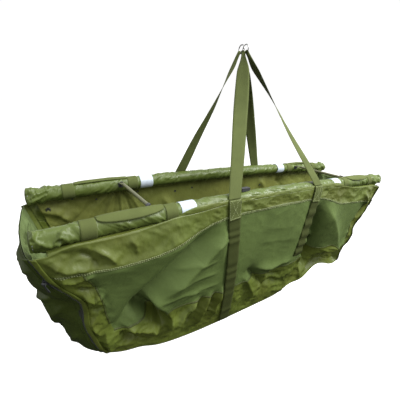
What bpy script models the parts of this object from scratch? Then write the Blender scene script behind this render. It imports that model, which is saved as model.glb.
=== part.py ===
# Retainer sling: a boat-shaped cloth bag hung between two padded floats, held open by two
# spreader bars and lifted by two webbing bridles that each run through their own steel ring.
# Metres, +Z up. The bag is drawn about the middle of the two float axes, floats along X,
# near side at -Y, and then hung so that the origin lies where a hook bears in the rings.
import math

import bmesh
import bpy
import numpy as np
from mathutils import Matrix

# Floats and their nylon sleeves
float_length = 1.25
float_spacing = 0.255
float_droop = 0.016
foam_radius = 0.0171
sleeve_wall = 0.0014
sleeve_slack = 0.0004
end_cap_reach = 0.014
end_cap_wall = 0.0014
end_cap_dome = 0.004
tube_sides = 14
tube_stations = 13

# Cloth, webbing and the gap that touching pieces keep
gap = 0.0003
cloth = 0.0014
webbing = 0.0016
seam_trim = 0.0006
join_trim = 0.0002
base_trim = 0.0011

# Bag: heights below the float axes, widths from the middle
bag_top = 0.0
bag_top_end = 0.040
bag_depth_middle = 0.440
bag_depth_end = 0.368
lift_rise = 0.048
lift_centre_share = 0.70
lift_spread_share = 0.13
strap_lift_rise = 0.022
strap_lift_centre_share = 0.42
strap_lift_spread_share = 0.12
top_edge_level = 0.20
top_edge_run = 0.30
bag_half_bottom = 0.100
bag_inset = 0.003
end_slant = 0.117
right_inset = 0.010
right_slant = 0.082
right_drop = 0.034
corner_chamfer = 0.010
side_fullness = 0.014
end_bulge_top = 0.010
end_bulge = 0.042
end_top_dip = 0.008
base_sag_middle = 0.028
base_sag_end = 0.020
border_share = 0.150
border_narrow_share = 0.070
mesh_share = 0.645
mesh_margin = 0.059
side_columns = 34
base_rows = 6
end_columns = 8

# Folds of each side, as shares of the bag's half length and of the deepest fold: centre, lean,
# width, depth, and the share of the height where it starts
fold_depth = 0.020
wave_depth = 0.0040
wave_length = 0.23
ripple_depth = 0.0025
ripple_length = 0.13
drape_folds = {
    -1: ((0.402, -0.096, 0.042, 1.00, 0.20), (-0.627, 0.080, 0.064, 0.70, 0.50),
         (-0.129, 0.064, 0.055, 0.50, 0.45), (0.113, -0.032, 0.048, 0.45, 0.50)),
    1: ((0.378, -0.080, 0.048, 0.70, 0.25), (-0.418, 0.080, 0.058, 0.65, 0.35),
        (-0.756, 0.048, 0.051, 0.45, 0.30), (0.032, 0.032, 0.058, 0.50, 0.45)),
}

# Straps, bridles and rings
strap_width = 0.040
strap_x = 0.178
strap_lean = {"left": 0.27, "right": 0.22}
strap_standoff = 0.0013
hang_x = -0.0385
hang_y = 0.045
ring_height = 0.391
ring_outer_radius = 0.013
ring_wire = 0.003
ring_apart_x = 0.004
ring_apart_y = 0.0136
fold_width = 0.0073
fold_thickness = 0.0024
fold_clearance = 0.0011
bunch_length = 0.24

# Reflective bands and carry handles
band_beside_wrap = 0.0465
band_width = 0.048
band_thickness = 0.0007
handle_inset = 0.0975
handle_pitch = 0.174
wrap_width = 0.030
grip_width = 0.030
grip_end_width = 0.010
grip_lift = 0.0032
grip_inner_angle = 118.0

# Spreader bars with a riveted tab at the far float and an open clip at the near one
bar_beside_wrap = 0.0365
bar_radius = 0.0048
bar_height = 0.012
tab_width = 0.016
tab_reach = 0.020
tab_thickness = 0.0020
rivet_radius = 0.0020
rivet_clearance = 0.0003
clip_wall = 0.0022
clip_length = 0.012
clip_mouth = 80.0
bar_flat = 0.24

# A small moulded keeper on the near sleeve beside the left strap
keeper_x = -0.125
keeper_length = 0.028
keeper_depth = 0.012
keeper_top = 0.0275

# Zips at the two near corners
zip_teeth_width = 0.0050
zip_teeth_height = 0.0010
slider_length = 0.011
slider_width = 0.0085
slider_height = 0.0036
slider_share = 0.16
puller_length = 0.024
puller_width = 0.0058
puller_thickness = 0.0012
pin_radius = 0.0008
slider_ear = 0.0020

sleeve_inner = foam_radius + sleeve_slack
sleeve_outer = sleeve_inner + sleeve_wall
half_length = float_length / 2
half_spacing = float_spacing / 2
sleeve_half = half_length - end_cap_reach
bag_top_reach = half_length - bag_inset
bag_bottom_reach = bag_top_reach - end_slant
mesh_reach = 1 - mesh_margin / bag_top_reach
handle_outer_x = half_length - handle_inset
handle_inner_x = handle_outer_x - handle_pitch
bar_x = handle_inner_x + bar_beside_wrap
band_x = handle_inner_x - band_beside_wrap
bag_half_top = half_spacing + sleeve_outer + gap + cloth / 2
strap_offset = cloth / 2 + gap + webbing / 2
ring_radius = ring_outer_radius - ring_wire / 2
ring_hole = ring_radius - ring_wire / 2
hook_height = ring_height + math.sqrt(ring_hole ** 2 - (ring_apart_y / 2) ** 2)

COLOURS = {
    "foam": ((0.20, 0.21, 0.20), 0.90, 0.0),
    "nylon": ((0.235, 0.300, 0.105), 0.42, 0.0),
    "mesh": ((0.110, 0.180, 0.055), 0.75, 0.0),
    "webbing": ((0.170, 0.215, 0.092), 0.80, 0.0),
    "reflective": ((0.760, 0.830, 0.870), 0.35, 0.0),
    "steel": ((0.560, 0.560, 0.550), 0.30, 1.0),
    "glass_fibre": ((0.330, 0.370, 0.230), 0.45, 0.0),
    "dark_plastic": ((0.045, 0.050, 0.040), 0.45, 0.0),
}


def clear_scene():
    for thing in list(bpy.data.objects):
        bpy.data.objects.remove(thing, do_unlink=True)


def material(name):
    if name in bpy.data.materials:
        return bpy.data.materials[name]
    colour, roughness, metallic = COLOURS[name]
    made = bpy.data.materials.new(name)
    made.use_nodes = True
    shader = made.node_tree.nodes["Principled BSDF"]
    shader.inputs["Base Color"].default_value = (*colour, 1.0)
    shader.inputs["Roughness"].default_value = roughness
    shader.inputs["Metallic"].default_value = metallic
    made.diffuse_color = (*colour, 1.0)
    return made


def add(name, mesh, finish, origin=(0.0, 0.0, 0.0), smooth=35.0):
    """Makes the object, with its origin at the given point of the sling."""
    mesh.transform(Matrix.Translation([-value for value in origin]))
    mesh.shade_smooth()
    mesh.set_sharp_from_angle(angle=math.radians(smooth))
    mesh.materials.append(material(finish))
    made = bpy.data.objects.new(name, mesh)
    bpy.context.scene.collection.objects.link(made)
    made.location = origin
    made.parent = bpy.data.objects["sling"]
    return made


def grid_mesh(name, points, around=False, along=False, caps=False, keep=None, split=False):
    """Faces between the rows of a grid of points. around joins the last column to the first,
    along joins the last row to the first, caps closes both end rows, keep picks cells, and
    split cuts the cells into triangles, for a twisted shape."""
    points = np.asarray(points, float)
    rows, columns = points.shape[:2]
    mesh = bmesh.new()
    corners = [[mesh.verts.new(point) for point in row] for row in points]
    for i in range(rows if along else rows - 1):
        for j in range(columns if around else columns - 1):
            if keep is None or keep[i][j]:
                a, b = corners[i], corners[(i + 1) % rows]
                k = (j + 1) % columns
                mesh.faces.new((a[j], b[j], b[k], a[k]))
    if caps:
        mesh.faces.new(corners[0])
        mesh.faces.new(list(reversed(corners[-1])))
    bmesh.ops.remove_doubles(mesh, verts=mesh.verts, dist=1e-7)
    loose = [vert for vert in mesh.verts if not vert.link_faces]
    bmesh.ops.delete(mesh, geom=loose, context="VERTS")
    data = bpy.data.meshes.new(name)
    if around or caps:
        bmesh.ops.recalc_face_normals(mesh, faces=mesh.faces)
    if split:
        bmesh.ops.triangulate(mesh, faces=mesh.faces)
    mesh.to_mesh(data)
    mesh.free()
    return data


def thicken(made, thickness):
    """Gives a sheet its thickness, half of it on each side."""
    wall = made.modifiers.new("thickness", "SOLIDIFY")
    wall.thickness = thickness
    wall.offset = 0.0


def smooth_step(value):
    held = np.clip(value, 0.0, 1.0)
    return held * held * (3 - 2 * held)


def float_height(x):
    """How far the float's axis droops below its middle at x."""
    return -float_droop * (np.asarray(x) / half_length) ** 2


def ring_angles():
    return np.linspace(0, 2 * math.pi, tube_sides, endpoint=False)


def tube_section(x, side, radius):
    """One ring of points round a float's axis."""
    angles = ring_angles()
    y = side * half_spacing + radius * np.cos(angles)
    z = float_height(x) + radius * np.sin(angles)
    return np.stack([np.full(tube_sides, x), y, z], -1)


def sleeve_tube(name, side, start, end, inner, outer, stations, finish):
    """A tube round a float, open at both ends."""
    xs = np.linspace(start, end, stations)
    outside = [tube_section(x, side, outer) for x in xs]
    inside = [tube_section(x, side, inner) for x in reversed(xs)]
    mesh = grid_mesh(name, outside + inside, around=True, along=True)
    return add(name, mesh, finish)


def make_floats(word, side):
    xs = np.linspace(-sleeve_half, sleeve_half, tube_stations)
    ends = half_length - end_cap_wall - gap - end_cap_dome
    sections = [tube_section(x, side, foam_radius) for x in (-ends, *xs, ends)]
    add(f"{word}_float_foam", grid_mesh("foam", sections, around=True, caps=True), "foam")
    sleeve_tube(f"{word}_float_sleeve", side, -sleeve_half, sleeve_half, sleeve_inner,
                sleeve_outer, tube_stations, "nylon")
    for end, sign in (("left", -1), ("right", 1)):
        make_end_cap(f"{word}_{end}_end_cap", side, sign)


def make_end_cap(name, side, sign):
    """A cup of cloth sewn to the sleeve's end, with a slightly domed face."""
    dome = end_cap_dome
    start = sleeve_half + gap
    profile = [(start, sleeve_outer), (half_length - dome, sleeve_outer),
               (half_length - 0.3 * dome, 0.8 * sleeve_outer), (half_length, 0.0),
               (half_length - end_cap_wall, 0.0),
               (half_length - end_cap_wall - 0.3 * dome, 0.8 * sleeve_inner),
               (half_length - end_cap_wall - dome, sleeve_inner), (start, sleeve_inner)]
    rows = [tube_section(sign * x, side, radius) for x, radius in profile]
    for row, (x, radius) in zip(rows, profile):
        if radius == 0.0:
            row[:] = row[0]
    mesh = grid_mesh(name, rows, around=True, along=True)
    add(name, mesh, "nylon")


def top_edge(x):
    """Height of the bag's top edge, which lies on the float between the straps."""
    away = smooth_step((np.abs(x) - top_edge_level) / top_edge_run)
    return (float_height(x) - bag_top) * (1 - away) - bag_top_end * away


def bottom_edge(s):
    """Height of the bag's bottom edge, which the right strap pulls up beside itself and
    which drops again at the right end."""
    lift = lift_rise * np.exp(-((s - lift_centre_share) / lift_spread_share) ** 2)
    lift = lift + strap_lift_rise * np.exp(-((s - strap_lift_centre_share)
                                             / strap_lift_spread_share) ** 2)
    drop = right_drop * smooth_step((s - 0.8) / 0.2)
    return -bag_depth_end - (bag_depth_middle - bag_depth_end) * (1 - s ** 4) + lift - drop


def reach(v, s=0.0):
    """Half length of the bag at the share v of its depth: the slanted ends. The right end,
    where s nears 1, stands steeper than the left one."""
    right = smooth_step((np.asarray(s) - 0.5) / 0.5)
    slant = end_slant + (right_slant - end_slant) * right
    return bag_top_reach - (right_inset - bag_inset) * right - slant * v


def half_width(v):
    return bag_half_top + (bag_half_bottom - bag_half_top) * v


def drape(x, v, side):
    """How far the hanging side stands in or out: long waves that grow downwards, and the
    deep folds where the cloth is gathered beside the straps."""
    waves = wave_depth * np.sin(2 * math.pi * x / wave_length + 1.1 * side) * v
    waves += ripple_depth * np.sin(2 * math.pi * x / ripple_length - 0.6 * side) * v ** 2
    folds = 0.0
    for centre, lean, width, depth, start in drape_folds[side]:
        line = (centre + lean * (v - start)) * bag_top_reach
        shape = np.exp(-((x - line) / (width * bag_top_reach)) ** 2)
        folds = folds - fold_depth * depth * shape * smooth_step((v - start) / 0.18)
    return waves + folds


def side_point(s, v, side):
    """A long side: s runs -1 to 1 along the bag, v from the top edge to the base."""
    x = s * reach(v, s)
    top = top_edge(x)
    z = top + (bottom_edge(s) - top) * v
    hold = np.sin(math.pi * np.clip(v, 0, 1)) ** 0.7 * (1 - s ** 8)
    y = half_width(v) + side_fullness * np.sin(math.pi * v) * (1 - s ** 4)
    y = y + drape(x, v, side) * hold
    return np.stack(np.broadcast_arrays(x, side * y, z), -1)


def end_point(w, v, end):
    """An end panel: w runs -1 to 1 across the bag, v from the top edge down."""
    y = w * (half_width(v) - corner_chamfer)
    bulge = end_bulge_top + end_bulge * np.sin(math.pi * v / 1.35)
    x = reach(v, end) + corner_chamfer + bulge * (1 - w ** 2)
    top = -bag_top_end - end_top_dip * (1 - w ** 2)
    bottom = bottom_edge(end) - base_sag_end * (1 - w ** 2)
    return np.stack(np.broadcast_arrays(end * x, y, top + (bottom - top) * v), -1)


def base_reach(y, s):
    """Half length of the base at y, with the chamfered corners."""
    inner = bag_half_bottom - corner_chamfer
    bulge = end_bulge_top + end_bulge * math.sin(math.pi / 1.35)
    middle = corner_chamfer + bulge * (1 - (np.minimum(np.abs(y), inner) / inner) ** 2)
    corner = np.clip(bag_half_bottom - np.abs(y), 0, corner_chamfer)
    return reach(1.0, s) + np.where(np.abs(y) <= inner, middle, corner)


def base_point(s, w):
    """The base: s along the bag, w from -1 at the near side to 1 at the far side."""
    y = w * bag_half_bottom
    inner = bag_half_bottom - corner_chamfer
    sag = base_sag_end + (base_sag_middle - base_sag_end) * (1 - s ** 2)
    dip = 1 - np.clip(np.abs(y) / inner, 0, 1) ** 2
    return np.stack(np.broadcast_arrays(s * base_reach(y, s), y, bottom_edge(s) - sag * dip), -1)


def cut_line(s, v):
    """Where a sewn line at the share v of the depth lies: the border narrows towards the
    middle of the bag, and the lines below it ease back to level."""
    middle = 1 - smooth_step((np.abs(s) - 0.25) / 0.40)
    above = np.clip(v / border_share, 0, 1)
    below = np.clip((mesh_share - v) / (mesh_share - border_share), 0, 1)
    return v - border_narrow_share * middle * np.minimum(above, below)


def lines(stops, counts, trims):
    """Grid lines through the stops, with a narrow empty strip left at each inner stop."""
    made = []
    for index, count in enumerate(counts):
        start = stops[index] + trims[index]
        end = stops[index + 1] - trims[index + 1]
        made.extend(np.linspace(start, end, count + 1))
    return np.array(made)


def strip_index(counts):
    """Which stretch each cell between the grid lines belongs to, -1 in the empty strips."""
    made = []
    for index, count in enumerate(counts):
        made.extend([index] * count)
        made.append(-1)
    return np.array(made[:-1])


def make_side(word, side):
    height = bag_depth_middle
    columns = (3, side_columns - 6, 3)
    rows = (2, 7, 4)
    seam = seam_trim / bag_bottom_reach
    join = join_trim / bag_top_reach
    s = lines((-1, -mesh_reach, mesh_reach, 1), columns, (seam, join, join, seam))
    v = lines((0, border_share, mesh_share, 1), rows,
              (0, join_trim / height, join_trim / height, seam_trim / bag_depth_end))
    sheet = side_point(s[:, None], cut_line(s[:, None], v[None, :]), side)
    across = strip_index(columns)[:, None]
    down = strip_index(rows)[None, :]
    whole_row = np.ones_like(across, bool)
    window = (across == 1) & (down == 1)
    border = whole_row & (down == 0)
    surround = ~window & (down != 0)
    surround[:, np.flatnonzero(down[0] == -1)[0]] = False
    ring = np.flatnonzero(strip_index(columns) == -1)
    gap_row = np.flatnonzero(strip_index(rows) == -1)[1]
    surround[ring, : gap_row + 1] = False
    surround[ring[0]: ring[1] + 1, gap_row] = False
    for name, keep, finish in ((f"{word}_side_border", border, "nylon"),
                               (f"{word}_mesh_window", window, "mesh"),
                               (f"{word}_side_panel", surround, "nylon")):
        if side > 0:
            sheet_points, cells = sheet[::-1], keep[::-1]
        else:
            sheet_points, cells = sheet, keep
        made = add(name, grid_mesh(name, sheet_points[:, ::-1], keep=cells[:, ::-1]), finish)
        thicken(made, cloth)


def make_end(word, end):
    trim = seam_trim / bag_half_bottom
    w = np.linspace(-1 + trim, 1 - trim, end_columns + 1)
    v = np.linspace(0, 1 - seam_trim / bag_depth_end, 11)
    sheet = end_point(w[:, None], v[None, :], end)
    made = add(f"{word}_end_panel", grid_mesh(word, sheet if end < 0 else sheet[::-1]), "nylon")
    thicken(made, cloth)


def make_base():
    s = np.linspace(-1, 1, side_columns - 3) * (1 - seam_trim / bag_bottom_reach)
    inner = 1 - corner_chamfer / bag_half_bottom
    edge = 1 - base_trim / bag_half_bottom
    w = np.array([-edge, *np.linspace(-inner, inner, base_rows - 1), edge])
    made = add("base_panel", grid_mesh("base", base_point(s[:, None], w[None, :])[::-1]), "nylon")
    thicken(made, cloth)


def corner_line(end, side, v, share):
    """A point on the chamfer between a side and an end: share 0 at the side, 1 at the end."""
    on_side = side_point(np.array(float(end)), np.array(float(v)), side)
    on_end = end_point(np.array(float(side)), np.array(float(v)), end)
    return on_side + (on_end - on_side) * share


def corner_frame(end, side):
    """Start, direction down the seam, direction across it and its outward normal."""
    start = corner_line(end, side, 0, 0.5)
    down = corner_line(end, side, 1, 0.5) - start
    length = float(np.linalg.norm(down))
    down = down / length
    across = corner_line(end, side, 0, 1) - corner_line(end, side, 0, 0)
    across = across - down * across.dot(down)
    across = across / np.linalg.norm(across)
    outward = np.cross(across, down)
    if outward[1] * side < 0:
        outward = -outward
    return start, down, across, outward, length


def seam_prism(name, frame, profile, start, end, finish):
    """Carries a closed profile of (across, outward) points down a corner seam."""
    origin, down, across, outward, length = frame
    rows = []
    for distance in (start, end):
        centre = origin + down * distance
        rows.append([centre + across * a + outward * o for a, o in profile])
    return add(name, grid_mesh(name, rows, around=True, caps=True), finish)


def make_corner(end_word, end, word, side):
    """Near corners are closed by a zip, whose teeth stand proud; far ones by a plain tape."""
    frame = corner_frame(end, side)
    half = corner_chamfer * math.sqrt(2) / 2 - seam_trim
    low, high = -cloth / 2, cloth / 2
    start = seam_trim
    stop = frame[4] - 2.4 * seam_trim
    if side < 0:
        teeth = zip_teeth_width / 2
        top = high + zip_teeth_height
        profile = [(-half, low), (half, low), (half, high), (teeth, high), (teeth, top),
                   (-teeth, top), (-teeth, high), (-half, high)]
        seam_prism(f"{end_word}_zip_tape", frame, profile, start, stop, "dark_plastic")
        make_slider(end_word, frame, top)
    else:
        profile = [(-half, low), (half, low), (half, high), (-half, high)]
        seam_prism(f"far_{end_word}_seam_tape", frame, profile, start, stop, "nylon")


def make_slider(word, frame, teeth_top):
    """The slider rides on the teeth, and the puller hangs from the pin between its ears."""
    origin, down, across, outward, length = frame
    start = slider_share * length
    low = teeth_top + gap
    base = low + slider_height / 2
    middle = start + slider_length / 2
    eye_radius = pin_radius + gap + puller_thickness
    pin_height = base + eye_radius + gap

    def at(distance, a, o):
        return origin + down * distance + across * a + outward * o

    def block(start_at, end_at, a, b, bottom, top):
        return [[at(d, a, bottom), at(d, b, bottom), at(d, b, top), at(d, a, top)]
                for d in (start_at, end_at)]

    rows = []
    for share, narrow in ((0.0, 0.75), (0.3, 1.0), (0.7, 1.0), (1.0, 0.65)):
        half = slider_width / 2 * narrow
        rows.extend(block(start + share * slider_length, start, -half, half, low, base)[:1])
    body = add(f"{word}_zip_slider", grid_mesh("slider", rows, around=True, caps=True),
               "dark_plastic", origin=tuple(at(middle, 0.0, low)))
    inner = puller_width / 2 + gap
    for sign in (-1, 1):
        ear = block(middle - slider_ear, middle + slider_ear, sign * inner,
                    sign * (inner + slider_ear / 2), base - gap, pin_height + slider_ear)
        join(body, grid_mesh("ear", ear, around=True, caps=True))
    angles = np.linspace(0, 2 * math.pi, 8, endpoint=False)
    pin = [[at(middle + pin_radius * math.cos(angle), a,
               pin_height + pin_radius * math.sin(angle)) for angle in angles]
           for a in (-inner - slider_ear / 4, inner + slider_ear / 4)]
    join(body, grid_mesh("pin", pin, around=True, caps=True))
    make_puller(word, at(middle, 0.0, pin_height), down, across, outward)


def make_puller(word, axis, down, across, outward):
    """A flat tag with an eye round the slider's pin, hanging down the seam."""
    eye = pin_radius + gap
    shell = eye + puller_thickness
    half = puller_width / 2
    angles = np.linspace(0, 2 * math.pi, 10, endpoint=False)
    rows = []
    for a, radius in ((-half, shell), (half, shell), (half, eye), (-half, eye)):
        rows.append([axis + across * a + down * radius * math.cos(angle)
                     + outward * radius * math.sin(angle) for angle in angles])
    made = add(f"{word}_zip_puller", grid_mesh("eye", rows, around=True, along=True), "steel",
               origin=tuple(axis))
    low, high = shell - puller_thickness, shell
    tag = []
    for distance, share in ((eye / 2, 1.0), (0.4 * puller_length, 0.7),
                            (0.85 * puller_length, 1.0), (puller_length, 0.6)):
        tag.append([axis + down * distance + across * a + outward * o
                    for a, o in ((-half * share, low), (half * share, low),
                                 (half * share, high), (-half * share, high))])
    join(made, grid_mesh("tag", tag, around=True, caps=True))


def join(target, mesh):
    """Unites a further closed shape with an object, as one body."""
    mesh.transform(Matrix.Translation(-target.location))
    cutter = bpy.data.objects.new(f"{target.name}_piece_{len(target.modifiers)}", mesh)
    bpy.context.scene.collection.objects.link(cutter)
    cutter.location = target.location
    cutter.parent = target.parent
    cutter.hide_render = True
    cutter.display_type = "WIRE"
    union = target.modifiers.new("join", "BOOLEAN")
    union.operation = "UNION"
    union.object = cutter


def sleeve_path(x, side, radius, start, end, count):
    """Points round the outside of a float, from one angle above level to another."""
    angles = np.radians(np.linspace(start, end, count))
    y = side * (half_spacing + radius * np.cos(angles))
    z = float_height(x) + radius * np.sin(angles)
    return np.stack([np.full(count, x), y, z], -1)


def leave_angle(side):
    """Angle above level at which a bridle leaves its float on the way to the rings."""
    rise = ring_height - ring_radius
    inward = bag_half_top - side * hang_y - ring_apart_y / 2
    return math.degrees(math.atan2(inward, rise))


def strap_radius():
    return bag_half_top + strap_offset - half_spacing


def hinge_point(side):
    """Where the free strap of a bridle starts: on the outer face of the sewn strap."""
    angle = math.radians(leave_angle(side))
    radius = strap_radius() + webbing / 2
    y = side * (half_spacing + radius * math.cos(angle))
    return y, float(float_height(strap_x)) + radius * math.sin(angle)


def make_belly_strap(word, sign):
    """One length of webbing, sewn from the near float down the side, under the base and up
    to the far float."""
    off = strap_offset + strap_standoff
    columns = []
    for offset in np.linspace(-0.5, 0.5, 3) * strap_width:
        halves = []
        for side in (-1, 1):
            x_top = sign * strap_x + offset
            start = leave_angle(side) - math.degrees(gap / strap_radius())
            tube = sleeve_path(x_top, side, strap_radius(), start, -4.0, 5)
            v = np.linspace(0.022, 0.975, 20)
            x = sign * strap_x * (1 - strap_lean[word] * v) + offset
            down = side_point(x / reach(v), v, side)
            down[:, 1] += side * (strap_offset + strap_standoff * smooth_step(v / 0.15))
            x_low = sign * strap_x * (1 - strap_lean[word]) + offset
            corner = side_point(np.array([x_low / bag_bottom_reach]), np.array([1.0]), side)
            corner = corner + np.array([0.0, side * off, -off])
            w = side * np.linspace(0.88, 0.1, 5)
            under = base_point(x_low / base_reach(w * bag_half_bottom, 0.0), w)
            under = under - np.array([0.0, 0.0, off * 1.3])
            half = np.concatenate([tube, down, corner, under])
            halves.append(half if side < 0 else half[::-1])
        columns.append(np.concatenate(halves))
    rows = np.stack(columns, 1)
    made = add(f"{word}_belly_strap", grid_mesh(word, rows[:, ::-1]), "webbing")
    thicken(made, webbing)


def make_bridle(word, side):
    """One strap from the left of a float, through the ring and back down to the right.
    It turns a quarter on the way up and is bunched where it runs through the ring."""
    hinge_y, hinge_z = hinge_point(side)
    fold = np.array([hang_x - side * ring_apart_x / 2, hang_y + side * ring_apart_y / 2,
                     ring_height - ring_radius])
    radius = ring_wire / 2 + fold_clearance + fold_thickness / 2
    angle = math.radians(leave_angle(side))
    float_normal = np.array([0.0, side * math.cos(angle), math.sin(angle)])
    ring_across = np.array([0.0, float(side), 0.0])
    legs = []
    for sign in (-1, 1):
        start = np.array([sign * strap_x, hinge_y, hinge_z]) - float_normal * webbing / 2
        lean = math.atan2(abs(start[0] - fold[0]), fold[2] - start[2])
        ring_normal = np.array([sign * math.cos(lean), 0.0, math.sin(lean)])
        end = fold + ring_normal * radius
        length = float(np.linalg.norm(end - start))
        leg = []
        for share in np.concatenate([np.linspace(0, 0.55, 6), np.linspace(0.62, 1, 12)]):
            turn = 0.72 * float(share) + 0.28 * float(share) ** 6
            across = unit(np.array([-float(sign), 0.0, 0.0]) * (1 - turn) + ring_across * turn)
            normal = float_normal * (1 - turn) + ring_normal * turn
            normal = unit(normal - across * normal.dot(across))
            bunch = float(smooth_step(1 - (1 - share) * length / bunch_length))
            width = strap_width + (fold_width - strap_width) * bunch
            thickness = webbing + (fold_thickness - webbing) * bunch
            centre = start + (end - start) * max(share, gap / length)
            leg.append(strap_section(centre, across, normal, width, thickness))
        for step in (0.35, 0.68):
            turned = lean + step * (math.pi / 2 - lean)
            normal = np.array([sign * math.cos(turned), 0.0, math.sin(turned)])
            leg.append(strap_section(fold + normal * radius, ring_across, normal, fold_width,
                                     fold_thickness))
        legs.append(leg)
    up = np.array([0.0, 0.0, 1.0])
    top = strap_section(fold + up * radius, ring_across, up, fold_width, fold_thickness)
    sections = legs[0] + [top] + legs[1][::-1]
    mesh = grid_mesh(word, sections, around=True, caps=True, split=True)
    add(f"{word}_bridle", mesh, "webbing", origin=(0.0, hinge_y, hinge_z))


def unit(vector):
    return vector / np.linalg.norm(vector)


def strap_section(centre, across, normal, width, thickness):
    """Four corners of a strap's cross-section, in one order all the way along."""
    a, n = across * width / 2, normal * thickness / 2
    return [centre + a + n, centre - a + n, centre - a - n, centre + a - n]


def make_ring(word, side):
    """A welded ring of round wire, with its origin where it pivots in the strap's fold."""
    centre = (hang_x - side * ring_apart_x / 2, hang_y + side * ring_apart_y / 2, ring_height)
    pivot = (centre[0], centre[1], ring_height - ring_radius)
    rows = []
    for turn in np.linspace(0, 2 * math.pi, 22, endpoint=False):
        row = []
        for angle in np.linspace(0, 2 * math.pi, 8, endpoint=False):
            out = ring_radius + ring_wire / 2 * math.cos(angle)
            row.append((centre[0] + ring_wire / 2 * math.sin(angle),
                        centre[1] + out * math.sin(turn), centre[2] - out * math.cos(turn)))
        rows.append(row)
    add(f"{word}_ring", grid_mesh(word, rows, around=True, along=True), "steel", origin=pivot)


def make_bands(word, side):
    for end, sign in (("left", -1), ("right", 1)):
        centre = sign * band_x
        sleeve_tube(f"{word}_{end}_reflective_band", side, centre - band_width / 2,
                    centre + band_width / 2, sleeve_outer + gap,
                    sleeve_outer + gap + band_thickness, 2, "reflective")


def make_handles(word, side):
    """Each handle is two wraps sewn round the float and a slack grip between them, which
    lies over the float's top and lifts about its inner edge."""
    outer = sleeve_outer + gap + webbing
    for end, sign in (("left", -1), ("right", 1)):
        for place, x in (("outer", handle_outer_x), ("inner", handle_inner_x)):
            sleeve_tube(f"{word}_{end}_{place}_wrap", side, sign * x - wrap_width / 2,
                        sign * x + wrap_width / 2, sleeve_outer + gap, outer, 2, "webbing")
        make_grip(f"{word}_{end}_grip", side, sign)


def make_grip(name, side, sign):
    start = handle_inner_x + wrap_width / 2 + gap
    end = handle_outer_x - wrap_width / 2 - gap
    rows = []
    for share in np.linspace(0, 1, 15):
        x = start + (end - start) * share
        full = math.sin(math.pi * share) ** 0.5 if 0 < share < 1 else 0.0
        width = grip_end_width + (grip_width - grip_end_width) * full
        radius = sleeve_outer + gap + webbing / 2 + grip_lift * full
        stop = grip_inner_angle - math.degrees(width / radius)
        row = []
        for angle in np.radians(np.linspace(grip_inner_angle, stop, 5)):
            row.append((sign * x, side * (half_spacing + radius * math.cos(angle)),
                        float_height(x) + radius * math.sin(angle)))
        rows.append(row)
    points = np.array(rows)
    hinge = np.radians(grip_inner_angle)
    radius = sleeve_outer + gap + webbing
    droop = float(float_height(start) + float_height(end)) / 2
    made = add(name, grid_mesh(name, points if sign * side > 0 else points[::-1]), "webbing",
               origin=(sign * (start + end) / 2, side * (half_spacing + radius * math.cos(hinge)),
                       droop + radius * math.sin(hinge)))
    thicken(made, webbing)


def bar_level():
    return float(float_height(bar_x)) + bar_height


def seat_distance(height):
    """How far from the middle the sleeve's inner face lies at a height over its axis."""
    return half_spacing - math.sqrt((sleeve_outer + gap) ** 2 - height ** 2)


def make_bar(word, sign):
    """A glass-fibre bar: flattened and drilled at the far end, snapped in a clip at the near."""
    level = bar_level()
    pivot_y = seat_distance(bar_height) - tab_reach * 0.55
    near_y = -seat_distance(bar_height - bar_radius) + webbing
    angles = np.linspace(0, 2 * math.pi, 12, endpoint=False)
    rows = []
    for y, across, tall in ((near_y, 0.8, 0.8), (near_y + 0.001, 1, 1), (pivot_y - 0.022, 1, 1),
                            (pivot_y - 0.010, 1.35, bar_flat), (pivot_y + 0.003, 1.35, bar_flat),
                            (pivot_y + 0.006, 0.7, bar_flat)):
        rows.append([(sign * bar_x + bar_radius * across * math.cos(angle), y,
                      level + bar_radius * tall * math.sin(angle)) for angle in angles])
    bar = add(f"{word}_spreader_bar", grid_mesh(word, rows, around=True, caps=True),
              "glass_fibre", origin=(sign * bar_x, pivot_y, level))
    hole = cylinder("hole", (sign * bar_x, pivot_y, level), rivet_radius + rivet_clearance, 0.02)
    cut(bar, hole)
    make_tab(word, sign, pivot_y, level)
    make_clip(word, sign, near_y, level)


def cylinder(name, centre, radius, height, sides=16, axis="z"):
    """A plain round bar about a centre, standing along z or lying along y or x."""
    angles = np.linspace(0, 2 * math.pi, sides, endpoint=False)
    rows = []
    for end in (-height / 2, height / 2):
        if axis == "z":
            rows.append([(centre[0] + radius * math.cos(a), centre[1] + radius * math.sin(a),
                          centre[2] + end) for a in angles])
        elif axis == "y":
            rows.append([(centre[0] + radius * math.cos(a), centre[1] + end,
                          centre[2] + radius * math.sin(a)) for a in angles])
        else:
            rows.append([(centre[0] + end, centre[1] + radius * math.cos(a),
                          centre[2] + radius * math.sin(a)) for a in angles])
    return grid_mesh(name, rows, around=True, caps=True)


def box(name, low, high):
    rows = [[(x, low[1], low[2]), (x, high[1], low[2]), (x, high[1], high[2]),
             (x, low[1], high[2])] for x in (low[0], high[0])]
    return grid_mesh(name, rows, around=True, caps=True)


def cut(target, mesh):
    join(target, mesh)
    target.modifiers[-1].operation = "DIFFERENCE"


def float_cutter(sign, side):
    """The space that the sleeve fills beside a bar, with the gap that pieces keep."""
    centre = (sign * bar_x, side * half_spacing, float(float_height(bar_x)))
    return cylinder("seat", centre, sleeve_outer + gap * 1.6, 0.08, 28, "x")


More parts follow.
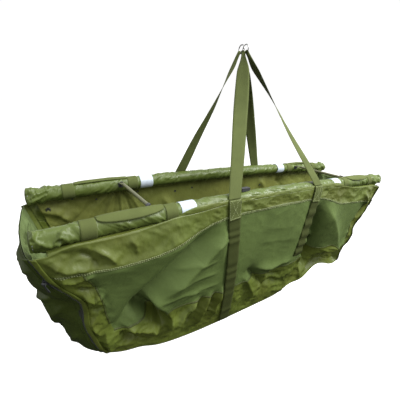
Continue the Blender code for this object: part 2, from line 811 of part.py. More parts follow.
def make_tab(word, sign, pivot_y, level):
    """A moulded tab on the far sleeve, under the bar's flat end, with the rivet through it."""
    half = tab_width / 2
    top = level - bar_flat * bar_radius - gap
    end = half_spacing - 0.004
    tab = add(f"{word}_bar_tab", box("tab", (sign * bar_x - half, pivot_y - 0.007,
              top - tab_thickness), (sign * bar_x + half, end, top)), "dark_plastic", smooth=30)
    foot = box("foot", (sign * bar_x - half, half_spacing - sleeve_outer - 0.004, top - 0.012),
               (sign * bar_x + half, end, top - tab_thickness / 2))
    join(tab, foot)
    rivet = (sign * bar_x, pivot_y, level)
    join(tab, cylinder("rivet", rivet, rivet_radius, 0.0062))
    head = (sign * bar_x, pivot_y, level + bar_flat * bar_radius + gap + 0.0009)
    join(tab, cylinder("head", head, rivet_radius * 1.9, 0.0012))
    cut(tab, float_cutter(sign, 1))


def make_clip(word, sign, near_y, level):
    """A moulded clip on the near sleeve. Its mouth faces the middle of the sling."""
    outer = bar_radius + gap + clip_wall
    start = near_y + 0.0012
    angles = np.radians(np.linspace(clip_mouth, 360 - clip_mouth, 13))
    inner_row = [(bar_radius + gap) * np.array([math.cos(a), math.sin(a)]) for a in angles]
    outer_row = [outer * np.array([math.cos(a), math.sin(a)]) for a in angles[::-1]]
    rows = []
    for y in (start, start + clip_length):
        rows.append([(sign * bar_x - sign * point[0], y, level + point[1])
                     for point in inner_row + outer_row])
    clip = add(f"{word}_bar_clip", grid_mesh("clip", rows, around=True, caps=True),
               "dark_plastic", smooth=30)
    foot_low = (sign * bar_x - 0.008, -half_spacing, level - outer - 0.007)
    foot_high = (sign * bar_x + 0.008, start + clip_length, level - bar_radius - gap - 0.0008)
    join(clip, box("foot", foot_low, foot_high))
    cut(clip, float_cutter(sign, -1))


def make_keeper():
    """A small moulded keeper that stands on the near sleeve's inner top."""
    low = (keeper_x - keeper_length / 2, -half_spacing - keeper_depth * 0.15, 0.0)
    high = (keeper_x + keeper_length / 2, -half_spacing + keeper_depth * 0.85, keeper_top)
    keeper = add("near_keeper", box("keeper", low, high), "dark_plastic", smooth=30)
    seat = (keeper_x, -half_spacing, float(float_height(keeper_x)))
    cut(keeper, cylinder("seat", seat, sleeve_outer + gap * 1.6, 0.08, 28, "x"))


def main():
    clear_scene()
    sling = bpy.data.objects.new("sling", None)
    bpy.context.scene.collection.objects.link(sling)
    sling.location = (-hang_x, -hang_y, -hook_height)
    for word, side in (("near", -1), ("far", 1)):
        make_floats(word, side)
        make_bands(word, side)
        make_handles(word, side)
        make_side(word, side)
        make_bridle(word, side)
        make_ring(word, side)
        for end_word, end in (("left", -1), ("right", 1)):
            make_corner(end_word, end, word, side)
    make_base()
    make_keeper()
    for word, sign in (("left", -1), ("right", 1)):
        make_end(word, sign)
        make_belly_strap(word, sign)
        make_bar(word, sign)
    bpy.context.view_layer.update()


main()
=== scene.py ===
"""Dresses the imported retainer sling: creased cloth, ruched float sleeves, webbing, zips,
rings and fittings, with a camera at the photograph's angle."""
from math import atan2, cos, pi, radians, sin

import bpy
import numpy as np
from mathutils import Matrix, Vector


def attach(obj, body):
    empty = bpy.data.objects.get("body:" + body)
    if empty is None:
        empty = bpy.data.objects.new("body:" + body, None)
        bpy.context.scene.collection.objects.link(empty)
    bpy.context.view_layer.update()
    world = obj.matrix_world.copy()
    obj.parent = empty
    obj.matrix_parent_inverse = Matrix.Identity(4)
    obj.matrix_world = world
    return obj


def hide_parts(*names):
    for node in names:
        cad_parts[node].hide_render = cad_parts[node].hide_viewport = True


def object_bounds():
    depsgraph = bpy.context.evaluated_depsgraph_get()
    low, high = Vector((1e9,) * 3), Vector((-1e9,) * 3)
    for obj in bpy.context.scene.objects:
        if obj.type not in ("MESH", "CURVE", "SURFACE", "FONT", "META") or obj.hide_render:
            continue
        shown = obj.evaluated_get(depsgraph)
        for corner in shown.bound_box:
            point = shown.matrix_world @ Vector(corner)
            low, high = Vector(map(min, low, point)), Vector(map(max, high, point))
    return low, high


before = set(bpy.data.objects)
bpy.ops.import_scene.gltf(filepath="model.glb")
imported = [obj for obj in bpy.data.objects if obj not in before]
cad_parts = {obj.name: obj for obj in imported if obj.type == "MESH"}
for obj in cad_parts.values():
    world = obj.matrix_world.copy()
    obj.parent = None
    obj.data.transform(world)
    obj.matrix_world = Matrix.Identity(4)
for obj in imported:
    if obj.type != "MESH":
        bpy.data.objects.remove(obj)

cad_low, cad_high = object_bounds()

# The sling's two sides and two ends, each with its sign along y or x
both_sides = (("near", -1), ("far", 1))
both_ends = (("left", -1), ("right", 1))

# Sizes of the sling, in metres, about the middle of the two float axes
hang = np.array((0.0385, -0.045, -0.39833))
float_half = 0.625
float_apart = 0.1275
float_droop = 0.016
sleeve_radius = 0.0189
foam_radius = 0.0171
bag_half_top = 0.1474
bag_half_bottom = 0.100
bag_top_end = 0.040
bag_top_reach = 0.622
bag_bottom_reach = 0.505
end_slant, right_slant, right_inset, right_drop = 0.117, 0.082, 0.007, 0.034
bag_depth_middle = 0.440
bag_depth_end = 0.368
bottom_lifts = ((0.048, 0.70, 0.13), (0.022, 0.42, 0.12), (0.008, -0.82, 0.07))
corner_chamfer = 0.010
side_fullness = 0.014
end_bulge_top = 0.010
end_bulge = 0.042
end_bulge_run = 1.35
end_top_dip = 0.008
base_sag_middle = 0.028
base_sag_end = 0.020
border_share = 0.150
border_narrow_share = 0.070
mesh_share = 0.645
mesh_reach = 0.905
zip_length = 0.360
strap_width = 0.040
strap_x = 0.178
strap_lean = {"left": 0.27, "right": 0.22}
strap_offset = 0.0018
band_x = 0.307
band_width = 0.048
tape_width = 0.040
wrap_places = {"outer": 0.5275, "inner": 0.3535}
wrap_width = 0.030
cloth = 0.0006
webbing = 0.0016

# Folds of each side, as shares of the half length and of 20 mm: centre, lean, width, depth,
# share of the height where it starts
drape_folds = {
    -1: ((0.402, -0.096, 0.042, 1.00, 0.20), (-0.627, 0.080, 0.064, 0.70, 0.50),
         (-0.129, 0.064, 0.055, 0.50, 0.45), (0.113, -0.032, 0.048, 0.45, 0.50)),
    1: ((0.378, -0.080, 0.048, 0.70, 0.25), (-0.418, 0.080, 0.058, 0.65, 0.35),
        (-0.756, 0.048, 0.051, 0.45, 0.30), (0.032, 0.032, 0.058, 0.50, 0.45)),
}


# ---------------------------------------------------------------- numbers and surfaces

def ease(value):
    """Three times the square less twice the cube of a value held between 0 and 1."""
    held = np.clip(value, 0.0, 1.0)
    return held * held * (3 - 2 * held)


def unit(vector):
    return vector / np.linalg.norm(vector, axis=-1, keepdims=True)


def joined(*parts):
    """Coordinates stacked along a new last axis."""
    return np.stack(np.broadcast_arrays(*parts), -1)


def lattice(a, b):
    return np.meshgrid(a, b, indexing="ij")


def strip(start, end, step):
    return np.linspace(start, end, max(2, int(round(abs(end - start) / step)) + 1))


def full_turn(count):
    return np.linspace(0, 2 * pi, count, endpoint=False)


def run_along(points):
    """The lengths of a path's steps, and how far along it each point lies."""
    steps = np.linalg.norm(np.diff(points, axis=0), axis=1)
    return steps, np.concatenate([[0], np.cumsum(steps)])


def bump_noise(a, b, seed):
    """Random heights between -1 and 1 on a whole-number lattice, eased between points."""
    heights = np.random.default_rng(seed).uniform(-1, 1, (64, 64))
    row, column = np.floor(a).astype(int), np.floor(b).astype(int)
    across, along = ease(a - row), ease(b - column)

    def at(i, j):
        return heights[(row + i) % 64, (column + j) % 64]

    low = at(0, 0) * (1 - along) + at(0, 1) * along
    high = at(1, 0) * (1 - along) + at(1, 1) * along
    return low * (1 - across) + high * across


def crumple(a, b, seed, steps=3):
    """Sharp-crested creases: one less twice the size of the noise, each step twice as fine
    and half as high, read along turned axes."""
    total, height = 0.0, 1.0
    for step in range(steps):
        turn = 0.7 + 1.3 * step
        p = a * cos(turn) - b * sin(turn)
        q = a * sin(turn) + b * cos(turn)
        total = total + height * (1 - 2 * abs(bump_noise(p, q, seed + step)) - 0.35)
        a, b, height = a * 1.9, b * 1.9, height * 0.5
    return total


def fold_field(x, z, folds):
    """Sum of folds. Each row gives width, height and skew, then the x and z of its points by
    turns, lengths in millimetres. A fold is a crest over a line, wider on one side, that
    fades out at both ends."""
    total = 0.0
    for width, height, skew, *places in folds:
        stops = np.array(places).reshape(-1, 2) / 1000
        steps, passed = run_along(stops)
        nearest = np.full(np.shape(x), np.inf)
        way = run = np.zeros(np.shape(x))
        for start, end, step, before in zip(stops[:-1], stops[1:], steps, passed):
            dx, dz = (end - start) / step
            along = np.clip((x - start[0]) * dx + (z - start[1]) * dz, 0, step)
            right, up = x - start[0] - along * dx, z - start[1] - along * dz
            away = np.hypot(right, up)
            closer = away < nearest
            nearest = np.where(closer, away, nearest)
            way = np.where(closer, np.sign(dx * up - dz * right), way)
            run = np.where(closer, (before + along) / steps.sum(), run)
        crest = np.exp(-(nearest / (width / 1000 * (1 + skew * way))) ** 1.35)
        total = total + height / 1000 * crest * ease(run / 0.28) * ease((1 - run) / 0.28)
    return total


def float_height(x):
    """A float's axis droops as the square of the distance from its middle."""
    return -float_droop * (np.asarray(x) / float_half) ** 2


def on_float(x, side, radius, turn, mirror=1):
    """Points round a float's axis. Angle 0 points along y, or outward if mirror is side."""
    return joined(x, side * float_apart + mirror * radius * np.cos(turn),
                  float_height(x) + radius * np.sin(turn))


def top_edge(x):
    away = ease((abs(x) - 0.20) / 0.30)
    return float_height(x) * (1 - away) - bag_top_end * away


def bottom_edge(s):
    """Height of the bottom edge: bell-shaped lifts, and a drop at the right end."""
    lift = sum(rise * np.exp(-((s - centre) / spread) ** 2)
               for rise, centre, spread in bottom_lifts)
    drop = right_drop * ease((s - 0.8) / 0.2)
    return -bag_depth_end - (bag_depth_middle - bag_depth_end) * (1 - s ** 4) + lift - drop


def reach(v, s=0.0):
    """Half length at the share v of the depth. The right end stands steeper."""
    right = ease((np.asarray(s) - 0.5) / 0.5)
    slant = end_slant + (right_slant - end_slant) * right
    return bag_top_reach - right_inset * right - slant * v


def half_width(v):
    return bag_half_top + (bag_half_bottom - bag_half_top) * v


def drape(x, v, side):
    """Long waves that grow downwards, less the deep folds beside the straps."""
    waves = 0.0040 * np.sin(2 * pi * x / 0.23 + 1.1 * side) * v
    waves = waves + 0.0025 * np.sin(2 * pi * x / 0.13 - 0.6 * side) * v ** 2
    for centre, lean, width, depth, start in drape_folds[side]:
        line = (centre + lean * (v - start)) * bag_top_reach
        shape = np.exp(-((x - line) / (width * bag_top_reach)) ** 2)
        waves = waves - 0.020 * depth * shape * ease((v - start) / 0.18)
    return waves


def side_surface(s, v, side):
    """A long side: s from -1 to 1 along the bag, v from the top edge to the base. It tapers
    to the base, bulges as a half sine down its height, carries the drape, and is drawn up a
    little to the float beside the bands."""
    x = s * reach(v, s)
    top = top_edge(x)
    drawn = ease((abs(x) - 0.26) / 0.10) * ease((0.605 - abs(x)) / 0.05)
    z = top + (bottom_edge(s) - top) * v + 0.011 * drawn * (1 - ease(v / border_share))
    belly = np.sin(pi * np.clip(v, 0, 1))
    y = half_width(v) + side_fullness * belly * (1 - s ** 4)
    y = y + drape(x, v, side) * belly ** 0.7 * (1 - s ** 8)
    return joined(x, side * y, z)


def end_surface(w, v, end):
    """A slanted end: w from -1 to 1 across the bag, v down. It bulges as a parabola across
    and as part of a sine down its height."""
    y = w * (half_width(v) - corner_chamfer)
    bulge = end_bulge_top + end_bulge * np.sin(pi * v / end_bulge_run)
    x = reach(v, end) + corner_chamfer + bulge * (1 - w ** 2)
    top = -bag_top_end - end_top_dip * (1 - w ** 2)
    bottom = bottom_edge(end) - base_sag_end * (1 - w ** 2)
    return joined(end * x, y, top + (bottom - top) * v)


def base_reach(y, s):
    inner = bag_half_bottom - corner_chamfer
    bulge = end_bulge_top + end_bulge * sin(pi / end_bulge_run)
    middle = corner_chamfer + bulge * (1 - (np.minimum(abs(y), inner) / inner) ** 2)
    corner = np.clip(bag_half_bottom - abs(y), 0, corner_chamfer)
    return reach(1.0, s) + np.where(abs(y) <= inner, middle, corner)


def base_surface(s, w):
    """The base: s along the bag and w across it, sagging as a parabola across."""
    y = w * bag_half_bottom
    inner = bag_half_bottom - corner_chamfer
    sag = base_sag_end + (base_sag_middle - base_sag_end) * (1 - s ** 2)
    dip = 1 - np.clip(abs(y) / inner, 0, 1) ** 2
    return joined(s * base_reach(y, s), y, bottom_edge(s) - sag * dip)


def cut_line(s, v):
    """Where a sewn line at the share v of the depth lies: the border narrows in the middle,
    and the mesh reaches lower at both ends."""
    middle = 1 - ease((abs(s) - 0.25) / 0.40)
    above = np.clip(v / border_share, 0, 1)
    below = np.clip((mesh_share - v) / (mesh_share - border_share), 0, 1)
    lower = np.clip((v - border_share) / (mesh_share - border_share), 0, 1)
    lower = np.minimum(lower, np.clip((1 - v) / (1 - mesh_share), 0, 1))
    lowered = (0.09 * ease((-s - 0.62) / 0.28) + 0.13 * ease((s - 0.62) / 0.25)) * lower
    return v + lowered - border_narrow_share * middle * np.minimum(above, below)


def normals_of(grid, way):
    """Unit normals of a grid of points, turned as a whole to look along way."""
    across = np.cross(np.gradient(grid, axis=0), np.gradient(grid, axis=1))
    across = across / np.maximum(np.linalg.norm(across, axis=-1, keepdims=True), 1e-12)
    return across if (across * way).sum() > 0 else -across


# ---------------------------------------------------------------- meshes

def grid_faces(rows, columns, around=False, along=False, keep=None):
    """Quads between the rows of a grid, as indices, closed round either way if asked."""
    i = np.arange(rows if along else rows - 1)[:, None]
    j = np.arange(columns if around else columns - 1)[None, :]
    k, m = (i + 1) % rows, (j + 1) % columns
    quads = np.stack([i * columns + j, k * columns + j, k * columns + m, i * columns + m], -1)
    return quads[keep] if keep is not None else quads.reshape(-1, 4)


def capped_tube(rows, columns):
    """Quads of a tube, with strips of quads across its first and its last ring."""
    quads = [grid_faces(rows, columns, around=True)]
    a = np.arange(columns // 2 - 1)
    for first, turn in ((0, 1), ((rows - 1) * columns, -1)):
        across = np.stack([a, a + 1, columns - 2 - a, columns - 1 - a], -1)
        quads.append((first + across)[:, ::turn])
    return np.concatenate(quads)


def settle(points):
    """Moves the loose cloth about the left zip inward a little, by a bell curve."""
    away = ((points - (-0.573, -0.128, -0.180)) ** 2).sum(-1, keepdims=True)
    return points + np.array((0.026, 0.004, 0.0)) * np.exp(-away / 0.054 ** 2)


def new_piece(name, points, faces, look, facing, body="sling_bag", replaces=(), flat=None):
    """Makes one piece of the sling. Its faces are turned so that they look along facing, or
    along what facing gives for their middles. flat is each point's place on the flat cloth,
    in metres."""
    points = np.ascontiguousarray(points, float).reshape(-1, 3)
    if body == "sling_bag":
        points = settle(points)
    faces = np.asarray(faces)
    corners = points[faces]
    across = np.cross(corners[:, 2] - corners[:, 0], corners[:, -1] - corners[:, 1])
    outward = facing(corners.mean(1)) if callable(facing) else facing
    if (across * np.asarray(outward)).sum() < 0:
        faces = faces[:, ::-1]
    mesh = bpy.data.meshes.new(name)
    used, index = np.unique(faces, return_inverse=True)
    mesh.from_pydata((points[used] + hang).tolist(), [], index.reshape(faces.shape).tolist())
    if flat is not None:
        flat = np.ascontiguousarray(flat, np.float32).reshape(-1, 2)[used]
        layer = mesh.uv_layers.new(name="cloth")
        loops = np.empty(len(mesh.loops), np.int32)
        mesh.loops.foreach_get("vertex_index", loops)
        layer.data.foreach_set("uv", flat[loops].ravel())
    mesh.shade_smooth()
    mesh.materials.append(finishes[look])
    piece = bpy.data.objects.new(name, mesh)
    bpy.context.scene.collection.objects.link(piece)
    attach(piece, body)
    if replaces:
        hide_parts(*replaces)
    return piece


def away_from(core, share=(1.0, 1.0, 1.0)):
    """For facing: the way to each face's middle from one core, or from a core of its own."""
    return lambda middle: (middle - core) * share


def new_cloth(name, grid, look, flat, facing, size, rests_on, held="stretched", area=None,
              node=None, slot="nylon", faces=None, thickness=cloth):
    """Makes one sheet of cloth from a grid of points. size, the flat cloth's, in metres, is not
    used.
    """
    faces = grid_faces(*grid.shape[:2]) if faces is None else faces
    piece = new_piece(name, grid, faces, look, facing, replaces=[node] if node else (),
                      flat=flat)
    wall = piece.modifiers.new("thickness", "SOLIDIFY")
    wall.thickness, wall.offset = thickness, 0.0


# ---------------------------------------------------------------- finishes

def scaled(colour, share):
    return tuple(channel * share for channel in colour)


class Finish:
    """A small helper that builds one procedural material, node by node."""

    def __init__(self, name, colour, roughness, metallic=0.0, specular=0.5):
        self.made = bpy.data.materials.new(name)
        self.made.use_nodes = True
        self.made.diffuse_color = (*colour, 1)
        self.tree = self.made.node_tree
        self.shader = self.tree.nodes["Principled BSDF"]
        self.height = None
        for socket, value in (("Base Color", (*colour, 1)), ("Roughness", roughness),
                              ("Metallic", metallic), ("Specular IOR Level", specular)):
            self.shader.inputs[socket].default_value = value

    def plug(self, value, socket):
        if hasattr(value, "is_linked"):
            self.tree.links.new(value, socket)
        else:
            socket.default_value = value

    def node(self, kind, **inputs):
        made = self.tree.nodes.new(kind)
        for key, value in inputs.items():
            self.plug(value, made.inputs[key])
        return made

    def place(self, scale=(1.0, 1.0, 1.0), turn=0.0, flat=True):
        """Coordinates in metres: the piece's own cloth map, or the object's."""
        if flat:
            source = self.tree.nodes.new("ShaderNodeUVMap")
            source.uv_map = "cloth"
            out = source.outputs["UV"]
        else:
            out = self.tree.nodes.new("ShaderNodeTexCoord").outputs["Object"]
        return self.node("ShaderNodeMapping", Vector=out, Scale=scale,
                         Rotation=(0.0, 0.0, turn)).outputs["Vector"]

    def noise(self, place, scale, detail=3.0, rough=0.55, kind="FBM"):
        made = self.node("ShaderNodeTexNoise", Vector=place, Scale=scale, Detail=detail,
                         Roughness=rough)
        made.noise_type = kind
        return made.outputs["Fac"]

    def ribs(self, place, scale, direction="X", profile="SIN"):
        made = self.node("ShaderNodeTexWave", Vector=place, Scale=scale)
        made.bands_direction = direction
        made.wave_profile = profile
        return made.outputs["Fac"]

    def math(self, kind, *values):
        made = self.tree.nodes.new("ShaderNodeMath")
        made.operation = kind
        for socket, value in zip(made.inputs, values):
            self.plug(value, socket)
        return made.outputs[0]

    def ramp(self, value, stops):
        made = self.node("ShaderNodeValToRGB", Fac=value)
        elements = made.color_ramp.elements
        for element, (position, colour) in zip(elements, (stops[0], stops[-1])):
            element.position, element.color = position, (*colour, 1)
        for position, colour in stops[1:-1]:
            elements.new(position).color = (*colour, 1)
        return made.outputs["Color"]

    def tones(self, value, colour, dark, middle, light):
        """The colour at the place middle, darker and lighter at two other places."""
        return self.ramp(value, ((dark[0], scaled(colour, dark[1])), (middle, colour),
                                 (light[0], scaled(colour, light[1]))))

    def split(self, value, low, high):
        """Black below one value and white above another."""
        return self.ramp(value, ((low, (0.0, 0.0, 0.0)), (high, (1.0, 1.0, 1.0))))

    def blend(self, share, a, b):
        made = self.tree.nodes.new("ShaderNodeMix")
        made.data_type = "RGBA"
        self.plug(share, made.inputs[0])
        for value, socket in ((a, made.inputs[6]), (b, made.inputs[7])):
            self.plug(value if hasattr(value, "is_linked") else (*value, 1), socket)
        return made.outputs[2]

    def relief(self, value, distance, strength):
        made = self.node("ShaderNodeBump", Height=value, Distance=distance,
                         Strength=strength)
        if self.height is not None:
            self.tree.links.new(self.height, made.inputs["Normal"])
        self.height = made.outputs["Normal"]

    def done(self, colour=None, roughness=None):
        for value, socket in ((colour, "Base Color"), (roughness, "Roughness"),
                              (self.height, "Normal")):
            if value is not None:
                self.tree.links.new(value, self.shader.inputs[socket])
        return self.made


def nylon(name, colour, gloss, browning=0.5, crisp=0.40, shine=0.22):
    """Plain-woven coated nylon: a fine over-and-under weave, browner patches laid out by noise,
    and small crushed wrinkles."""
    made = Finish(name, colour, gloss, specular=shine)
    place = made.place()
    weave = made.math("MULTIPLY", made.ribs(place, 420.0), made.ribs(place, 420.0, "Y"))
    clouds = made.noise(place, 14.0, 4.0)
    patches = made.noise(place, 5.0)
    crushed = made.noise(made.place((1.0, 0.55, 1.0), 0.5), 90.0, 5.0, 0.62)
    brown = (colour[0] * 0.98, colour[1] * 0.80, colour[2] * 0.80)
    shade = made.tones(clouds, colour, (0.30, 0.80), 0.52, (0.74, 1.16))
    share = made.math("MULTIPLY", made.split(patches, 0.40, 0.66), browning)
    shade = made.blend(share, shade, brown)
    shade = made.blend(made.math("MULTIPLY", weave, 0.14), shade, scaled(colour, 1.5))
    creases = made.noise(made.place((1.0, 1.5, 1.0), 0.35), 17.0, 4.0, 0.5,
                         "RIDGED_MULTIFRACTAL")
    made.relief(creases, 0.0030, crisp)
    made.relief(crushed, 0.0014, 0.60)
    made.relief(weave, 0.00005, 0.6)
    return made.done(shade, made.math("MULTIPLY_ADD", crushed, 0.22, gloss - 0.10))


def knitted(name, colour):
    """Fine knitted mesh: rows of small round holes with raised yarn round them."""
    knit = Finish(name, colour, 0.62, specular=0.14)
    place = knit.place()
    holes = knit.node("ShaderNodeTexVoronoi", Vector=place, Scale=620.0, Randomness=0.15)
    open_share = knit.split(holes.outputs["Distance"], 0.16, 0.34)
    yarn = knit.tones(knit.noise(place, 9.0), colour, (0.28, 0.84), 0.52, (0.76, 1.16))
    shade = knit.blend(open_share, scaled(colour, 0.42), yarn)
    knit.relief(open_share, 0.0002, 0.7)
    knit.relief(knit.noise(place, 60.0), 0.0008, 0.35)
    return knit.done(shade)


def woven(name, colour):
    """Woven webbing: ribs across the strap, broken by the yarns that run along it, with
    slightly worn, paler edges of each rib."""
    strap = Finish(name, colour, 0.78, specular=0.14)
    place = strap.place()
    rib = strap.math("MULTIPLY", strap.ribs(place, 190.0, "Y"),
                     strap.ribs(place, 130.0, "X", "TRI"))
    clouds = strap.noise(place, 20.0, 4.0)
    shade = strap.tones(clouds, colour, (0.30, 0.86), 0.52, (0.76, 1.12))
    shade = strap.blend(strap.math("MULTIPLY", rib, 0.42), shade, scaled(colour, 1.55))
    strap.relief(rib, 0.00022, 0.8)
    strap.relief(strap.noise(place, 900.0, 2.0), 0.00006, 0.5)
    return strap.done(shade)


def reflective(name, colour):
    """Reflective tape: glass beads in a fine grid of sealed lines, a little scuffed."""
    tape = Finish(name, colour, 0.34, specular=0.6)
    place = tape.place()
    grid = tape.math("MAXIMUM", tape.ribs(place, 120.0, "X", "SAW"),
                     tape.ribs(place, 120.0, "Y", "SAW"))
    scuffs = tape.noise(place, 70.0, 5.0, 0.7)
    shade = tape.tones(scuffs, colour, (0.30, 0.86), 0.55, (0.80, 1.08))
    tape.relief(grid, 0.00005, 0.4)
    tape.relief(tape.noise(place, 55.0), 0.0006, 0.4)
    return tape.done(shade, tape.math("MULTIPLY_ADD", scuffs, 0.25, 0.22))


def hard(name, colour, roughness, metallic=0.0, grain=240.0, depth=0.00004):
    """Moulded plastic, wire or rod: fine grain and uneven gloss."""
    made = Finish(name, colour, roughness, metallic)
    place = made.place(flat=False)
    fine = made.noise(place, grain, 4.0)
    clouds = made.noise(place, grain / 12)
    shade = made.tones(clouds, colour, (0.30, 0.86), 0.55, (0.78, 1.12))
    made.relief(fine, depth, 0.5)
    return made.done(shade, made.math("MULTIPLY_ADD", fine, 0.16, roughness - 0.08))


finishes = {
    "nylon": nylon("coated_nylon", (0.083, 0.109, 0.018), 0.38, crisp=0.30),
    "border": nylon("border_nylon", (0.086, 0.111, 0.022), 0.36, 0.45, 0.45, 0.30),
    # A lighter copy of the nylon for the sheet inside the far side: painted light
    "inner": nylon("inner_nylon_painted_light", (0.130, 0.148, 0.034), 0.55, 0.25, 0.2, 0.12),
    # A lighter copy of the nylon for the sheets inside the ends: painted light
    "facing": nylon("facing_nylon_painted_light", (0.108, 0.148, 0.056), 0.42, 0.2, 0.6, 0.20),
    "sleeve": nylon("sleeve_nylon", (0.070, 0.098, 0.020), 0.36, 0.2, 0.6, 0.28),
    # A darker copy of the nylon for the end panels, their lips and the base: painted shade
    "end": nylon("end_nylon_painted_shade", (0.036, 0.053, 0.009), 0.42, 0.4, 0.6),
    "mesh": knitted("knitted_mesh", (0.084, 0.121, 0.033)),
    "webbing": woven("strap_webbing", (0.070, 0.086, 0.025)),
    "belly": woven("belly_webbing", (0.037, 0.046, 0.011)),
    # Darker nylon for the seam hems: painted shade along the seams
    "hem": nylon("hem_nylon_painted_shade", (0.044, 0.058, 0.012), 0.45),
    "reflective": reflective("reflective_tape", (0.42, 0.48, 0.53)),
    "thread": hard("sewing_thread", (0.32, 0.37, 0.17), 0.7),
    "dark_thread": hard("mesh_thread", (0.060, 0.080, 0.026), 0.7),
    "zip": hard("zip_tape", (0.020, 0.024, 0.014), 0.6, grain=500.0),
    "plastic": hard("moulded_plastic", (0.030, 0.032, 0.034), 0.42),
    "rod": hard("glass_fibre_rod", (0.092, 0.097, 0.040), 0.36, grain=160.0),
    "steel": hard("welded_steel", (0.26, 0.26, 0.25), 0.26, 1.0, 400.0, 0.00002),
    "eyelet": hard("eyelet_metal", (0.018, 0.020, 0.014), 0.45, grain=400.0),
    "foam": hard("closed_foam", (0.20, 0.21, 0.20), 0.9, grain=600.0, depth=0.0003),
}

# Looks of the CAD nodes that stay visible, by a word in their names
cad_looks = {"foam": "foam", "zip": "plastic", "tab": "plastic", "clip": "plastic",
             "keeper": "plastic", "spreader": "rod"}
for node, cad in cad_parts.items():
    look = next((cad_looks[word] for word in cad_looks if word in node), "steel")
    cad.data.materials.clear()
    cad.data.materials.append(finishes[look])


# ---------------------------------------------------------------- long sides

# Folds as fold_field reads them. Those of the near side follow the photograph
near_folds = (
    (24, -24, 0.35, -215, -50, -300, -105, -360, -160, -430, -220, -500, -320),
    (28, 16, 0.3, -160, -65, -250, -140, -330, -200, -410, -250),
    (6, 3.2, 0, -350, -165, -280, -152, -200, -165),
    (7, 3.6, 0.3, -370, -205, -290, -196, -190, -210),
    (7, 3.6, 0, -410, -235, -330, -237, -220, -262),
    (6, 2.8, 0.3, -340, -270, -260, -245, -180, -250),
    (5, 2.4, 0, -240, -120, -200, -105, -160, -115),
    (17, -34, 0.45, -460, -240, -405, -275, -372, -305, -350, -355),
    (11, 17, 0.3, -425, -205, -365, -260, -335, -320, -335, -390),
    (11, 10, 0, -480, -275, -425, -322, -385, -345, -350, -385),
    (10, -10, 0, -480, -300, -445, -345, -400, -375),
    (9, 6, 0.2, -508, -270, -500, -330, -485, -385),
    (11, 13, 0.3, -250, -275, -300, -320, -330, -375),
    (9, -11, 0, -235, -270, -260, -330, -285, -400),
    (9, 12, 0.3, -215, -265, -235, -330, -250, -410),
    (8, -10, 0, -195, -270, -210, -330, -222, -400),
    (8, 11, 0.2, -170, -255, -185, -330, -192, -405),
    (10, -13, 0.3, -85, -235, -30, -290, 0, -320, 30, -360),
    (15, 10, 0.2, -110, -250, -60, -300, -30, -350, -20, -410),
    (13, 10, 0.2, -60, -240, 20, -262, 80, -255, 140, -270),
    (11, -9, 0, 10, -335, 70, -345, 120, -365, 160, -385),
    (12, -8, 0, 10, -290, 60, -315, 120, -320),
    (12, 1, 0.3, -60, -100, 20, -115, 120, -125),
    (12, 1.2, 0.3, -70, -150, 30, -160, 130, -175),
    (35, 9, 0, -570, -108, -450, -102, -330, -88, -230, -72),
    (30, -34, 0, 212, -45, 228, -130, 250, -200, 272, -290, 285, -380),
    (40, 16, -0.2, 250, -60, 305, -130, 365, -200, 425, -285, 450, -345),
    (8, 10, 0, 200, -235, 215, -207, 240, -200, 268, -225),
    (26, -26, 0, 215, -215, 240, -265, 265, -330, 275, -390),
    (8, 11, 0.2, 190, -245, 202, -310, 192, -390),
    (7, 7, 0, 212, -320, 245, -365, 258, -415),
    (20, 10, 0.2, 300, -265, 360, -290, 460, -300, 550, -290),
    (10, 8, 0.3, 500, -50, 535, -85, 555, -130),
    (14, -8, 0, 560, -100, 535, -170, 500, -250),
    (10, 7, 0.2, -610, -50, -575, -80, -520, -85),
    (6, 6, 0.3, -525, -45, -500, -62, -478, -88),
    (6, -5, 0, -555, -42, -530, -60, -515, -85),
    (7, 4, 0.2, -455, -35, -440, -55, -438, -80),
    (8, 7, 0.3, -600, -95, -565, -110, -520, -102),
    (6, -6, 0, -580, -130, -550, -146, -515, -140),
    (7, 8, 0.3, -570, -155, -545, -178, -510, -165),
    (6, -5, 0, -560, -195, -535, -210, -508, -200),
    (8, 7, 0.2, -555, -230, -530, -265, -508, -300),
    (7, -6, 0, -535, -290, -520, -325, -500, -365),
)
# Creases that spread from the left bar's tab, as run and height, and the other far folds
tab_creases = ((-175, 4), (-130, -4), (-95, 4), (-60, -5), (-30, 4), (5, -5), (45, 5), (85, -4),
               (135, 4))
far_folds = tuple((4.8, height, 0.2, -385, -10, -385 + run / 2, -65, -385 + run, -145)
                  for run, height in tab_creases) + (
    (14, -14, 0.3, -610, -60, -560, -75, -520, -110),
    (12, 10, 0, -580, -110, -520, -130, -470, -180),
    (16, -10, 0, -260, -50, -200, -120, -120, -200),
    (14, 10, 0.2, 60, -50, 110, -80, 160, -150),
    (14, -12, 0, 200, -40, 235, -80, 240, -150),
    (14, 10, 0, 300, -50, 360, -90, 380, -160),
)
# Across the bag and down, on both ends
end_folds = (
    (14, 10, 0.3, -115, -80, -60, -110, 20, -100, 90, -120),
    (18, -13, 0.3, -110, -150, -50, -180, 30, -170, 100, -200),
    (11, 10, 0.3, -100, -190, -60, -240, -30, -300),
    (7, 7, 0, -90, -170, -50, -195, -10, -200),
    (11, -9, 0.2, -80, -235, -40, -290, 0, -345),
    (14, 8, 0.3, 30, -150, 70, -240, 80, -330),
    (9, 7, 0, -95, -280, -60, -320, -20, -370),
)


